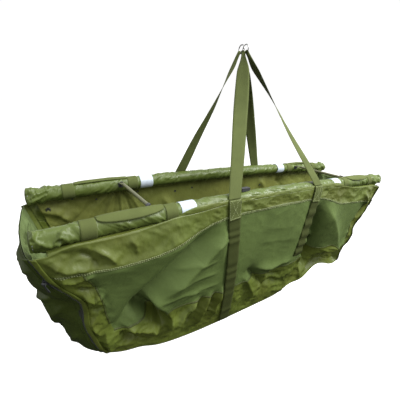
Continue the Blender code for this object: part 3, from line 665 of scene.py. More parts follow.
def corner_push(v, end, side):
    """How far a corner seam is pushed outward and towards the side: noise along the seam,
    none at its slider and its two ends."""
    free = ease((v - 0.27) / 0.10) * ease((0.975 - v) / 0.07)
    seed = 2 * end + side
    sway = (0.0075 if end > 0 else 0.003) * bump_noise(v * 8 + 2, 0 * v, 174 + seed) * free
    lift = (0.0060 if end > 0 else 0.004) * bump_noise(v * 11 + 5, 0 * v, 184 + seed) * free
    aside = unit(np.array((-end, side, 0.0)))
    out = unit(np.array((end, side, -0.5)))
    return sway[..., None] * aside + lift[..., None] * out


def strap_line(sign, v):
    """Where a belly strap's middle lies along the bag, at the share v of the depth."""
    return sign * strap_x * (1 - strap_lean["right" if sign > 0 else "left"] * v)


def side_relief(x, z, s, v, side):
    """Depth of a side's folds and creases, along the outward normal. The large folds are
    listed, the small ones are crumple noise that is stronger at seams and below."""
    edge = ease((1 - abs(s)) / 0.030) * ease((1 - v) / 0.04)
    large = fold_field(x, z, near_folds) * 1.4 if side < 0 else fold_field(x, z, far_folds)
    under = 0.022 * ease((-0.285 - z) / 0.08) * ease((x - 0.25) / 0.09) * (side < 0)
    below = ease((v - mesh_share) / 0.08)
    ends = ease((abs(s) - 0.86) / 0.06)
    line = cut_line(s, np.full(np.shape(s), border_share))
    border = ease((line + 0.012 - v) / 0.03)
    rough = np.maximum(np.maximum(below, ends), border) * (1 - 0.45 * border * (1 - ends))
    sway = bump_noise(x / 0.09 + 2, v * 3, 37 + side) * 0.004 * border
    small = crumple(x / 0.046, z / 0.034, 11 + side) * (0.0006 + 0.0026 * rough)
    fine = crumple(x / 0.019 + z / 0.05, z / 0.016, 17 + side, 2) * 0.0011 * rough
    slack = bump_noise(x / 0.11 + 3, z / 0.13, 31 + side) * 0.0030 * (0.4 + v)
    strap = np.minimum(abs(x - strap_line(-1, v)), abs(x - strap_line(1, v)))
    free = ease((v - 0.56) / 0.06) * (x > 0) * (side < 0)
    held = np.maximum(0.25 + 0.75 * ease((strap - strap_width / 2) / 0.014), free)
    depth = (large - under) * (0.35 + 0.65 * held) + (small + fine + slack + sway) * held
    return depth * edge * np.clip(v / 0.03, 0, 1)


def dressed(s, v, side, proud=0.0):
    """Points and outward normals of a side with its folds, proud of the cloth by a little.
    The normal is that of the plain surface, from short steps either way."""
    step = 0.004
    grid = side_surface(s, v, side)
    along = side_surface(s + step, v, side) - side_surface(s - step, v, side)
    down = side_surface(s, v + step, side) - side_surface(s, v - step, side)
    normal = unit(np.cross(along, down))
    normal = normal * np.sign(normal[..., 1:2] * side)
    depth = side_relief(grid[..., 0], grid[..., 2], s, v, side)
    for end in (-1, 1):
        share = ease((end * s - 0.88) / 0.12)[..., None]
        grid = grid + corner_push(np.clip(v, 0, 1), end, side) * share
    return grid + normal * (depth + proud)[..., None], normal


def side_cloth(name, s, v, side, proud, look, size, rests_on, **given):
    """Makes a sheet of a side over whole rows and columns of sewn lines."""
    s, v = lattice(s, v)
    new_cloth(name, dressed(s, cut_line(s, v), side, proud)[0], look,
              joined(s * bag_top_reach, -v * bag_depth_middle), (0, side, 0), size, rests_on,
              **given)


def strips(edges, steps):
    """Rows over several stretches, with one on every edge between them."""
    rows = [strip(*stretch) for stretch in zip(edges[:-1], edges[1:], steps)]
    return np.unique(np.concatenate(rows))


def make_side(word, side):
    """A side's border, its mesh window and the surround that the window is left out of."""
    lap, step, sleeve = 0.012, 0.0034, f"{word}_sleeve_cloth"
    side_cloth(f"{word}_side_border_cloth", strip(-1, 1, step), strip(0, border_share, 0.0075),
               side, 0.0006, "border", (0.050, 1.245), sleeve, node=f"{word}_side_border")
    side_cloth(f"{word}_mesh_window_cloth",
               strip(-mesh_reach - lap, mesh_reach + lap, 0.0040),
               strip(border_share - lap, mesh_share + lap, 0.0070), side, -0.0006, "mesh",
               (0.235, 1.12), sleeve, node=f"{word}_mesh_window", slot="mesh")
    s = strips((-1, -mesh_reach, mesh_reach, 1), (step, step, step))
    v = strips((border_share, mesh_share, 1), (0.0080, 0.0068))
    beside = abs(s[:-1] + s[1:]) / 2 > mesh_reach
    under = (v[:-1] + v[1:]) / 2 > mesh_share
    side_cloth(f"{word}_side_panel_cloth", s, v, side, 0.0006, "nylon", (0.375, 1.18),
               f"{word}_mesh_window_cloth", area=0.19, node=f"{word}_side_panel",
               faces=grid_faces(len(s), len(v), keep=beside[:, None] | under[None, :]))


for word, side in both_sides:
    make_side(word, side)


# ---------------------------------------------------------------- ends, base and corners

# Where the left end stands out, as a share of its height, and by how much
lobe_share, lobe_depth = 0.33, 0.009


def dressed_end(w, v, end, proud=0.0):
    """Points of an end panel, crushed most near its zip and below its hem. The left one
    stands out in a lobe near its top."""
    grid = end_surface(w, v, end)
    normal = normals_of(grid, (end, 0, 0))
    y, z = grid[..., 1], grid[..., 2]
    edge = ease((1 - abs(w)) / 0.12) * ease((1 - v) / 0.06)
    depth = fold_field(y, z, end_folds) + crumple(y / 0.05 + 7, z / 0.09, 51 + end, 2) * 0.0020
    depth = depth + crumple(y / 0.022, z / 0.026, 55 + end, 2) * 0.0007
    depth = depth + bump_noise(y / 0.10, z / 0.16 + 5, 61 + end) * 0.003
    if end < 0:
        away = v - lobe_share
        fall = (away / 0.16) ** 2 + (np.maximum(away, 0) / 0.055) ** 2
        depth = depth + lobe_depth * np.exp(-fall)
    grid = grid + normal * (proud + depth * edge * (0.25 + 0.75 * ease(v / 0.10)))[..., None]
    for side in (-1, 1):
        grid = grid + corner_push(v, end, side) * ease((side * w - 0.5) / 0.5)[..., None]
    return grid


def end_cloth(name, w, v, end, proud, look, facing, size, rests_on, area, node=None):
    """Makes a sheet that follows an end, facing out of the bag or into it."""
    new_cloth(name, dressed_end(w, v, end, proud), look, joined(w * bag_half_top, -v * 0.37),
              (facing, 0, 0), size, rests_on, "hung", area, node)


def make_end(word, end):
    """An end panel in darker nylon, which is painted shade, and a loose sheet inside its upper
    part in lighter nylon, which is painted light.
    """
    w, v = lattice(strip(-1, 1, 0.014), strip(0, 1, 0.0075))
    # The end panel in the darker end nylon: painted shade
    end_cloth(f"{word}_end_cloth", w, v, end, 0.0, "end", end, (0.295, 0.39),
              "near_side_panel_cloth", 0.105, f"{word}_end_panel")
    half, low = 0.97, 0.42
    w, v = lattice(strip(-half, half, 0.014), strip(0.002, low, 0.0075))
    slack = crumple(w * 3.6, v * 9.0, 165 + end) * 0.0035
    loose = ease((half - abs(w)) / 0.15) * ease(v / 0.04) * ease((low - v) / 0.06)
    # The inner sheet in the lighter nylon: painted light on the end's inner face
    end_cloth(f"{word}_end_facing_painted_light", w, v, end, -0.0022 - (slack + 0.0045) * loose, "facing",
              -end, (0.285, 0.155), f"{word}_end_cloth", 0.044)


def make_base():
    """The base, creased across its whole length."""
    s, w = lattice(strip(-1, 1, 0.008), strip(-1, 1, 0.05))
    grid = base_surface(s, w)
    normal = normals_of(grid, (0, 0, -1))
    x, y = grid[..., 0], grid[..., 1]
    edge = ease((1 - abs(w)) / 0.10) * ease((1 - abs(s)) / 0.03)
    depth = crumple(x / 0.08, y / 0.05, 71) * 0.0030 + bump_noise(x / 0.12, y / 0.09, 81) * 0.005
    # The base in the darker end nylon: painted shade
    new_cloth("base_cloth", grid + normal * (depth * edge)[..., None], "end",
              joined(s * bag_bottom_reach, w * bag_half_bottom), (0, 0, -1), (0.225, 1.10),
              "near_side_panel_cloth", "hung", 0.225, "base_panel")


for word, end in both_ends:
    make_end(word, end)
make_base()


def corner_strip(name, on_side, on_end, shares, lifts, out, seed, look, slot="nylon", node=None):
    """A strip of cloth along a corner seam, from one share of its width to another."""
    share = np.asarray(shares)[None, :]
    rows = np.arange(len(on_side))[:, None] + 0 * share
    ripple = bump_noise(rows / 7.0, share + 0 * rows, seed)
    sway = bump_noise(rows / 9.0 + 4, 0 * rows, seed + 3)
    lift = np.asarray(lifts)[None, :]
    grid = on_side[:, None] + (on_end - on_side)[:, None] * share[..., None]
    grid = grid + out * (lift + ripple * (0.0005 + 0.55 * lift))[..., None]
    grid = grid + unit(on_end - on_side)[:, None] * (sway * 0.0016)[..., None]
    flat = joined(np.linspace(0, 0.35, len(on_side))[:, None], share * 0.014)
    width = np.linalg.norm(grid[:, 1:] - grid[:, :-1], axis=-1).sum(1).mean()
    new_cloth(name, grid, look, flat, tuple(out), (float(width), zip_length),
              "near_side_panel_cloth", node=node, slot=slot, thickness=0.0007)


def make_corner(end_word, end, side):
    """The tape that joins a side to an end, lapped over both. A zip's tape lies under two
    lips of cloth that leave only a narrow line of teeth open."""
    v = np.linspace(0.0, 1.0, 90)
    push = corner_push(v, end, side)
    seam = (side_surface(end + 0 * v, v, side) + push, end_surface(side + 0 * v, v, end) + push)
    out = unit(np.array([end * 1.0, side * 1.0, -0.5]))
    if side > 0:
        corner_strip(f"far_{end_word}_seam_cloth", *seam, np.linspace(-0.28, 1.28, 9),
                     np.full(9, 0.0012), out, 91 + end, "nylon",
                     node=f"far_{end_word}_seam_tape")
        return
    corner_strip(f"{end_word}_zip_cloth", *seam, np.linspace(-0.1, 1.1, 7), np.full(7, 0.0008),
                 out, 91 + end, "zip", "dark_plastic", f"{end_word}_zip_tape")
    lifts = (0.0004, 0.0016, 0.0026, 0.0032, 0.0030, 0.0020, 0.0012)
    corner_strip(f"{end_word}_side_lip", *seam, np.linspace(-0.55, 0.42, 7), lifts, out,
                 95 + end, "nylon")
    # The end lip in the darker end nylon: painted shade
    corner_strip(f"{end_word}_end_lip", *seam, np.linspace(1.50, 0.60, 7), lifts, out,
                 98 + end, "end")
    make_teeth(end_word, sum(seam) / 2, out)


def make_teeth(word, seam, out):
    """A closed coil of zip teeth: small rounded blocks set left and right by turns."""
    count = 165
    way = np.linspace(0.012, 0.988, count) * (len(seam) - 1)
    centre = joined(*(np.interp(way, np.arange(len(seam)), seam[:, i]) for i in range(3)))
    down = unit(np.gradient(centre, axis=0))[:, None]
    across = unit(np.cross(down, out))
    lift = unit(np.cross(across, down))
    lift = lift * np.sign((lift * out).sum(-1, keepdims=True))
    profile = np.array([(-0.5, -0.5), (-0.3, -0.8), (0.3, -0.8), (0.5, -0.5), (0.5, 0.5),
                        (0.3, 0.8), (-0.3, 0.8), (-0.5, 0.5)])
    turn = np.where(np.arange(count) % 2, 1.0, -1.0)[:, None] * 0.0006
    blocks = []
    for level, grow in ((0.0008, 1.0), (0.0021, 0.9), (0.0025, 0.5)):
        along = profile[None, :, 0] * 0.0016 * grow + 0 * turn
        aside = turn + profile[None, :, 1] * 0.0019 * grow
        blocks.append(centre[:, None] + down * along[..., None] + across * aside[..., None]
                      + lift * level)
    first = np.arange(count)[:, None, None] * 24
    top = 16 + np.array([[0, 1, 6, 7], [1, 2, 5, 6], [2, 3, 4, 5]])
    faces = np.concatenate([(first + grid_faces(3, 8, around=True)).reshape(-1, 4),
                            (first + top).reshape(-1, 4)])
    new_piece(f"{word}_zip_teeth", np.stack(blocks, 1), faces, "plastic",
              tuple(out))


for side in (-1, 1):
    for end_word, end in both_ends:
        make_corner(end_word, end, side)


# ---------------------------------------------------------------- hems, stitches and eyelets

def across_path(s, v, metres):
    """Shares of a side that lie a distance to the left of a path, measured on the cloth."""
    run, fall = np.gradient(s) * bag_top_reach, np.gradient(v) * bag_depth_middle
    length = np.hypot(run, fall)
    return (s - fall / length * metres / bag_top_reach,
            v + run / length * metres / bag_depth_middle)


def make_hem(name, s, v, side, width):
    """A folded edge of cloth sewn over a seam: a strip that follows the side, crowned, in darker
    nylon that is painted shade along the seam.
    """
    crown = ((-1.0, 0.0002), (-0.8, 0.0010), (0.0, 0.0015), (0.8, 0.0010), (1.0, 0.0002))
    grid = np.stack([dressed(*across_path(s, v, share * width / 2), side, height)[0]
                     for share, height in crown], 1)
    steps, along = run_along(grid[:, 2])
    flat = joined(along[:, None], np.linspace(0, width, len(crown))[None, :])
    length = float(steps.sum())
    new_cloth(name, grid, "hem", flat, (0, side, 0), (2 * width, length),
              "near_side_panel_cloth" if side < 0 else "far_side_panel_cloth", "folded",
              width * length, thickness=0.0005)


stitch_length, stitch_radius, stitch_gap = 0.0030, 0.00055, 0.0016


def sew(name, points, normals, thread="thread"):
    """A row of stitches along a path: each a short rounded bar that stands out of the cloth."""
    length, width, gap = stitch_length, stitch_radius, stitch_gap
    along = run_along(points)[1]
    starts = np.arange(gap, along[-1] - length - gap, length + gap)

    def read(values, at):
        return joined(*(np.interp(at, along, values[:, i]) for i in range(3)))

    middle = read(points, starts + length / 2)
    normal = unit(read(normals, starts + length / 2))
    tangent = unit(read(points, starts + length) - read(points, starts))
    aside = np.cross(normal, tangent)
    turn = full_turn(6)
    rows = []
    for share, grow in ((-0.5, 0.35), (-0.36, 0.9), (0.36, 0.9), (0.5, 0.35)):
        ring = (aside[:, None] * np.cos(turn)[None, :, None]
                + normal[:, None] * np.sin(turn)[None, :, None]) * width * grow
        rows.append(middle[:, None] + tangent[:, None] * share * length + ring)
    stitch = capped_tube(4, 6)
    faces = (np.arange(len(starts))[:, None, None] * 24 + stitch[None]).reshape(-1, 4)
    core = np.repeat(middle, len(stitch), 0)
    new_piece(name, np.stack(rows, 1), faces, thread, away_from(core))


def sew_side(name, s, v, side, offset=0.0, thread="dark_thread"):
    points, normals = dressed(*across_path(s, v, offset), side, 0.0015)
    sew(name, points, normals, thread)


def make_hems(word, side):
    """The seams round the mesh and at the border, each a narrow hem with stitches."""
    s = np.linspace(-0.985, 0.985, 420)
    line = cut_line(s, np.full(420, border_share))
    make_hem(f"{word}_border_hem", s, line, side, 0.0065)
    sew_side(f"{word}_border_stitches_a", s, line, side, 0.0018, "thread")
    sew_side(f"{word}_border_stitches_b", s, line, side, -0.0018, "thread")
    s = np.linspace(-mesh_reach, mesh_reach, 400)
    seams = [("", s, cut_line(s, np.full(400, mesh_share)))]
    v = np.linspace(border_share, mesh_share, 90)
    seams += [(f"{end_word}_", np.full(90, end * mesh_reach), v) for end_word, end in both_ends]
    for part, s, v in seams:
        make_hem(f"{word}_{part}mesh_hem", s, v, side, 0.0050)
        sew_side(f"{word}_{part}mesh_stitches", s, v, side)


for word, side in both_sides:
    make_hems(word, side)


def make_flange(word, side):
    """The border's cloth above its top edge: in the middle it runs up the float's outer
    face, towards the ends it turns in under the float. Angle and distance from the float's
    axis ease from one edge to the other."""
    x, share = lattice(strip(-0.600, 0.600, 0.004), strip(0, 1, 0.11))
    edge = dressed(x / reach(0.0, x / bag_top_reach), 0 * x, side, 0.0006)[0]
    out, up = edge[..., 1] * side - float_apart, edge[..., 2] - float_height(x)
    ends = ease((abs(x) - 0.28) / 0.16)
    start = radians(30) + (radians(-85) - radians(30)) * ends
    angle = start + (np.arctan2(up, out) - start) * share
    radius = sleeve_radius + 0.0022 - 0.0032 * ends
    radius = radius + (np.hypot(out, up) - radius) * share ** (1 + 3 * ends)
    crease = crumple(x / 0.024, angle / 0.7, 161 + side) * 0.0011
    radius = radius + crease * np.sin(pi * share) * (1 - ends)
    grid = joined(edge[..., 0], side * (float_apart + radius * np.cos(angle)),
                  float_height(x) + radius * np.sin(angle))
    new_cloth(f"{word}_flange_cloth", grid, "border", joined(x, share * 0.03), (0, side, 0.2),
              (0.020, 1.20), f"{word}_sleeve_cloth", area=0.017)


def make_facing():
    """A sheet inside the far side, from its top edge to below the eyelets, in lighter nylon that
    is painted light on the inner face.
    """
    s, v = lattice(strip(-0.97, 0.97, 0.0045), strip(0.004, 0.30, 0.012))
    new_cloth("far_inner_facing_painted_light", dressed(s, v, 1, -0.0024)[0], "inner",
              joined(s * bag_top_reach, -v * bag_depth_middle), (0, -1, 0), (0.130, 1.20),
              "far_side_panel_cloth", area=0.150)


def make_eyelet(number, x, z, size):
    """A small rolled ring punched through the far border, with a dark disc across it."""
    v = np.array([float((z - top_edge(x)) / (bottom_edge(x / bag_top_reach) - top_edge(x)))])
    point, normal = dressed(np.array([x]) / reach(v, x / bag_top_reach), v, 1)
    point, normal = point[0], normal[0]
    aside = unit(np.cross(normal, (0.0, 0.0, 1.0)))
    upward = np.cross(aside, normal)
    turn = full_turn(20)[:, None]
    round_way = aside * np.cos(turn) + upward * np.sin(turn)
    profile = ((0.05, -0.0034), (0.6, -0.0036), (0.85, -0.0046), (1.0, -0.0040),
               (1.0, 0.0018), (0.85, 0.0022), (0.6, 0.0012), (0.05, 0.0010))
    points = np.array([point + round_way * size * share + normal * height
                       for share, height in profile])
    new_piece(f"far_eyelet_{number}", points, capped_tube(8, 20), "eyelet",
              away_from(point))


for word, side in both_sides:
    make_flange(word, side)
make_facing()
for number, (x, z, size) in enumerate(((-0.578, -0.064, 0.0062), (-0.517, -0.050, 0.0030),
                                       (-0.453, -0.058, 0.0030), (-0.327, -0.045, 0.0032),
                                       (-0.194, -0.054, 0.0040), (-0.126, -0.049, 0.0034),
                                       (0.211, -0.072, 0.0034)), 1):
    make_eyelet(number, x, z, size)


# ---------------------------------------------------------------- floats

def calm_near(x, centres, half, fade):
    """0 within half of any centre, easing to 1 over the distance fade beyond it."""
    away = np.ones_like(x)
    for centre in centres:
        for sign in (-1, 1):
            away = np.minimum(away, ease((abs(x - sign * centre) - half) / fade))
    return away


# A sleeve's gathers, the crushed stretch at each of its ends, and what lies under a grip
gather_depth, gather_width, gather_length, gather_lean = 0.0036, 0.0145, 0.050, 0.95
crushed_from, crushed_depth = 0.548, 0.0058
under_grip_x, under_grip_turn, under_grip_depth = (0.364, 0.517), (0.38, 2.16), 0.0008


def ruching(x, turn, side):
    """Depth of a sleeve's gathers: slanting ridges that drift, pinned flat under the bands
    and wraps and low under the grips, with a crushed stretch at each end."""
    pinned = calm_near(x, wrap_places.values(), wrap_width / 2 - 0.003, 0.012)
    pinned = np.minimum(pinned, calm_near(x, [band_x], band_width / 2 - 0.003, 0.010))
    pinned = np.minimum(pinned, calm_near(x, [strap_x], strap_width / 2 - 0.004, 0.010))
    arc = turn * sleeve_radius
    lean = gather_lean * side
    across = (x * cos(lean) + arc * sin(lean)) / gather_width
    along = (arc * cos(lean) - x * sin(lean)) / gather_length
    across = across + 0.8 * bump_noise(x / 0.05, arc / 0.03, 101 + side)
    gather = crumple(across, along, 103 + side)
    strength = 0.62 + 0.38 * bump_noise(x / 0.060 + 9, arc / 0.04, 111 + side)
    slack = ease((abs(x) - crushed_from) / 0.03)
    crushed = crumple(x / 0.028, arc / 0.020, 121 + side) * crushed_depth + 0.0016
    depth = gather_depth * gather * strength * (1 - 0.5 * slack) + slack * crushed
    own = turn if side > 0 else (pi - turn) % (2 * pi)
    covered = [(low < value) & (value < high) for value, (low, high)
               in ((abs(x), under_grip_x), (own, under_grip_turn))]
    depth = np.where(covered[0] & covered[1], np.minimum(depth, under_grip_depth), depth)
    return np.maximum(depth * pinned, -(sleeve_radius - foam_radius) + 0.0005)


def from_float(side):
    """For facing: the way out from a float's axis."""
    return away_from((0.0, side * float_apart, 0.0), (0.0, 1.0, 1.0))


def make_sleeve(word, side):
    """A sleeve over its foam, closed at both ends by a quarter ellipse over 5 mm."""
    columns, closing = 56, 0.005
    close = np.array([0.0001, 0.0003, 0.0007, 0.0013, 0.0021, 0.0031, 0.0043])
    x = np.linspace(-float_half + 0.00001, float_half - 0.00001, 1150)
    x = np.unique(np.concatenate([x, -float_half + close, float_half - close]))
    x, turn = lattice(x, full_turn(columns))
    left = np.clip((float_half - abs(x)) / closing, 0, 1)
    round_end = np.maximum(np.sqrt(np.clip(1 - (1 - left) ** 2, 0, 1)), 0.02)
    seam = ease((float_half - 0.004 - abs(x)) / 0.006)
    radius = (sleeve_radius + ruching(x, turn, side)) * round_end * (0.93 + 0.07 * seam)
    points = on_float(x, side, radius, turn)
    nodes = [f"{word}_float_sleeve", f"{word}_left_end_cap", f"{word}_right_end_cap"]
    piece = new_piece(f"{word}_sleeve_cloth", points, capped_tube(len(x), columns), "sleeve",
                      from_float(side), replaces=nodes,
                      flat=joined(x, turn * sleeve_radius))


def around_float(name, side, start, width, thickness, look, node, wave):
    """A band round a float: a closed loop of the given thickness with rounded edges."""
    inner, turn = sleeve_radius + 0.0002, full_turn(56)
    profile = [(0.0, 0.0), (0.0, 0.6), (0.03, 1.0)]
    profile += [(share, 1.0) for share in np.linspace(0.12, 0.88, 10)]
    profile += [(0.97, 1.0), (1.0, 0.6), (1.0, 0.0)]
    rows = []
    for share, height in profile:
        x = start + share * width + 0 * turn
        puff = wave * bump_noise(x / 0.02, turn / 0.5, len(name) + int(side > 0))
        radius = inner + height * thickness + puff * (height > 0.5)
        rows.append(on_float(x, side, radius, turn))
    flat = joined(turn[None, :] * inner, np.array(profile)[:, :1] * width)
    new_piece(name, np.array(rows), grid_faces(len(rows), len(turn), around=True, along=True),
              look, from_float(side), replaces=[node], flat=flat)


def make_float_trim(word, side):
    for end, sign in both_ends:
        start = sign * band_x - band_width / 2 + (0.001 if sign < 0 else -0.008)
        around_float(f"{word}_{end}_band_tape", side, start, tape_width, 0.0008, "reflective",
                     f"{word}_{end}_reflective_band", 0.0005)
        for place, x in wrap_places.items():
            around_float(f"{word}_{end}_{place}_wrap_webbing", side, sign * x - wrap_width / 2,
                         wrap_width, webbing, "webbing", f"{word}_{end}_{place}_wrap", 0.0003)


for word, side in both_sides:
    make_sleeve(word, side)
    make_float_trim(word, side)


# ---------------------------------------------------------------- webbing

def closed_strip(name, front, back, flat, look, body, node=None):
    """A strap from the grids of its two faces, closed along both edges and at both ends."""
    ring = np.concatenate([front, back[:, ::-1]], 1)
    flat = np.concatenate([flat, flat[:, ::-1]], 1)
    faces = capped_tube(*ring.shape[:2])
    middle = (front + back) / 2
    core = np.concatenate([middle, middle[:, ::-1]], 1).reshape(-1, 3)[faces].mean(1)
    return new_piece(name, ring, faces, look, away_from(core), body,
                     [node] if node else (), flat)


def rounded_edge(shares):
    """Share of the full thickness of webbing at places from -1 to 1 across it."""
    return np.sqrt(np.clip(1 - abs(shares) ** 10, 0.08, 1))


def strap_solid(name, centre, across, normal, width, look, body, node=None, cup=0.0):
    """Webbing along a path: nine points across, with rounded edges, cupped along normal."""
    shares = np.linspace(-1, 1, 9)
    cupped = np.broadcast_to(cup, (len(centre),))[:, None] * shares[None] ** 2
    thick = webbing / 2 * rounded_edge(shares)[None]
    width = np.broadcast_to(width, (len(centre),))[:, None]
    flatways = centre[:, None] + across[:, None] * (width / 2 * shares[None])[..., None]
    front = flatways + normal[:, None] * (cupped + thick)[..., None]
    back = flatways + normal[:, None] * (cupped - thick)[..., None]
    flat = joined(shares[None] * strap_width / 2, run_along(centre)[1][:, None])
    return closed_strip(name, front, back, flat, look, body, node)


def strap_down_side(sign, side, low, high, count, proud):
    """The middle line of a strap on a side, with its outward normals."""
    v = np.linspace(low, high, count)
    return dressed(strap_line(sign, v) / reach(v), v, side, proud)


def strap_round_float(sign, side, before, stop, radius):
    """The middle line of a strap on a float's outer face: from a little before its bridle's
    hinge line to the angle stop."""
    angles = np.radians(np.linspace(hinge_angle[side] - before, stop, 8))
    normal = joined(0 * angles, side * np.cos(angles), np.sin(angles))
    centre = np.array([sign * strap_x, side * float_apart, float(float_height(strap_x))])
    return centre + normal * radius, normal


def level_across(centre):
    """The way along the bag, turned square to a path, and the path's direction."""
    tangent = unit(np.gradient(centre, axis=0))
    return unit(np.array([1.0, 0.0, 0.0]) - tangent * tangent[:, :1]), tangent


hinge_angle = {-1: 26.06162, 1: 14.13922}
strap_radius = bag_half_top + strap_offset - float_apart


def make_belly_strap(word, sign):
    """Webbing down the near side, under the base and up the far side, rippled where the
    cloth below it is gathered. The right one is hidden by slack cloth low on the near side."""
    sections = []
    for side in (-1, 1):
        tube, tube_normal = strap_round_float(sign, side, 1.0, 2.0, strap_radius)
        low, high, count = 0.02, 0.985, 130
        v = np.linspace(low, high, count)
        wave = 2 * pi * v * bag_depth_middle / 0.040
        ripple = np.sin(wave + 3.5 * bump_noise(v * 7, v * 0, 141 + sign))
        ripple = ripple * (0.6 + 0.5 * bump_noise(v * 6 + 3, v * 0, 143 + side))
        ripple = ripple * (0.0019 if sign > 0 else 0.0011)
        ripple = ripple * ease((v - 0.13) / 0.05) * ease((0.97 - v) / 0.05)
        covered = 0.0095 * ease((v - 0.57) / 0.05) * ease((high - v) / 0.04)
        proud = 0.0032 + ripple - covered * (sign > 0 and side < 0)
        face, normal = strap_down_side(sign, side, low, high, count, proud)
        w = side * np.linspace(0.90, 0.04, 16)
        x = sign * strap_x * (1 - strap_lean[word]) + 0 * w
        under = base_surface(x / base_reach(w * bag_half_bottom, 0.0), w) - (0.0, 0.0, 0.0040)
        half = np.concatenate([tube, face, under])
        normals = np.concatenate([tube_normal, normal, np.tile((0.0, 0.0, -1.0), (16, 1))])
        sections.append((half[::-side], normals[::-side]))
    centre, outward = (np.concatenate(pair) for pair in zip(*sections))
    across, tangent = level_across(centre)
    normal = unit(np.cross(across, tangent))
    normal = normal * np.sign((normal * outward).sum(-1, keepdims=True))
    piece = strap_solid(f"{word}_belly_webbing", centre, across, normal, strap_width, "belly",
                        "sling_bag", f"{word}_belly_strap")
    for side_word, side in both_sides:
        make_patch(f"{side_word}_{word}_patch", sign, side)


def make_patch(name, sign, side):
    """The doubled webbing where a bridle is sewn down over float and border, with a box of
    stitches and a cross in it."""
    tube, tube_normal = strap_round_float(sign, side, 2.0, 4.0, strap_radius + 0.0017)
    face, normal = strap_down_side(sign, side, 0.022, 0.105, 16, 0.0052)
    centre, normal = np.concatenate([tube, face]), np.concatenate([tube_normal, normal])
    across = level_across(centre)[0]
    piece = strap_solid(f"{name}_webbing", centre, across, normal, strap_width + 0.001,
                        "webbing", "sling_bag")
    proud = normal * (webbing / 2 + 0.0002)
    inset = strap_width / 2 - 0.003
    for number, (start, end) in enumerate(((-1, -1), (1, 1), (-1, 1), (1, -1)), 1):
        way = np.linspace(start, end, len(centre))[:, None] * inset
        sew(f"{name}_stitches_{number}", centre + across * way + proud, normal)
    for number, row in enumerate((2, len(centre) - 3), 5):
        way = np.linspace(-inset, inset, 12)[:, None]
        sew(f"{name}_stitches_{number}", centre[row] + across[row] * way + proud[row],
            np.tile(normal[row], (12, 1)))


ring_height, ring_radius, ring_wire = 0.391, 0.0115, 0.003
ring_apart_x, ring_apart_y = 0.004, 0.0136
bunch_width, bunch_length, bunch_cup = 0.0145, 0.065, 0.0044


def ring_centre(side):
    return np.array([-hang[0] - side * ring_apart_x / 2, -hang[1] + side * ring_apart_y / 2,
                     ring_height])


def make_ring(word, side):
    centre = ring_centre(side)
    turn, angle = lattice(full_turn(72), full_turn(16))
    weld = 1 + 0.10 * np.exp(-((abs(turn - 3.6)) / 0.10) ** 2)
    out = ring_radius + ring_wire / 2 * weld * np.cos(angle)
    points = joined(centre[0] + ring_wire / 2 * weld * np.sin(angle),
                    centre[1] + out * np.sin(turn), centre[2] - out * np.cos(turn))
    middle = joined(centre[0], centre[1] + ring_radius * np.sin(turn),
                    centre[2] - ring_radius * np.cos(turn)).reshape(-1, 3)
    faces = grid_faces(72, 16, around=True, along=True)
    new_piece(f"{word}_ring_wire", points, faces, "steel",
              away_from(middle[faces].mean(1)), f"{word}_ring", [f"{word}_ring"])


def make_bridle(word, side):
    """One strap through a ring: each leg turns a quarter on the way up and bunches there."""
    angle = radians(hinge_angle[side])
    radius = strap_radius + webbing / 2
    hinge_y = side * (float_apart + radius * cos(angle))
    hinge_z = float(float_height(strap_x)) + radius * sin(angle)
    fold = ring_centre(side) - (0.0, 0.0, ring_radius)
    bend = ring_wire / 2 + 0.0011 + 0.0011
    float_normal = np.array([0.0, side * cos(angle), sin(angle)])
    ring_across = np.array([0.0, float(side), 0.0])
    parts = []
    for sign in (-1, 1):
        start = np.array([sign * strap_x, hinge_y, hinge_z]) - float_normal * webbing / 2
        lean = atan2(abs(start[0] - fold[0]), fold[2] - start[2])
        ring_normal = np.array([sign * cos(lean), 0.0, sin(lean)])
        end = fold + ring_normal * bend
        share = np.linspace(0.0008, 1, 110)
        turn = (0.72 * share + 0.28 * share ** 6)[:, None]
        across = unit(np.array([-float(sign), 0, 0]) * (1 - turn) + ring_across * turn)
        normal = float_normal * (1 - turn) + ring_normal * turn
        normal = unit(normal - across * (normal * across).sum(-1, keepdims=True))
        bunch = ease(1 - (1 - share) * np.linalg.norm(end - start) / bunch_length)
        sway = 0.0015 * np.sin(share * pi * 3 + sign) * np.sin(share * pi)
        centre = start + (end - start) * share[:, None] + normal * sway[:, None]
        leg = [centre, across, normal, strap_width + (bunch_width - strap_width) * bunch,
               bunch_cup * bunch ** 2]
        steps = np.linspace(0.2, 1.0, 6)[:-1] if sign < 0 else np.linspace(0.2, 1.0, 6)
        turned = lean + steps * (pi / 2 - lean)
        arc_normal = joined(sign * np.cos(turned), 0 * turned, np.sin(turned))
        arc = [fold + arc_normal * bend, ring_across + 0 * arc_normal, arc_normal,
               bunch_width + 0 * steps, bunch_cup + 0 * steps]
        parts.append([np.concatenate(pair)[::-sign] for pair in zip(leg, arc)])
    centre, across, normal, width, cup = map(np.concatenate, zip(*parts))
    piece = strap_solid(f"{word}_bridle_webbing", centre, across, normal, width, "webbing",
                        f"{word}_bridle", f"{word}_bridle", cup)


for word, sign in both_ends:
    make_belly_strap(word, sign)
for word, side in both_sides:
    make_ring(word, side)
    make_bridle(word, side)


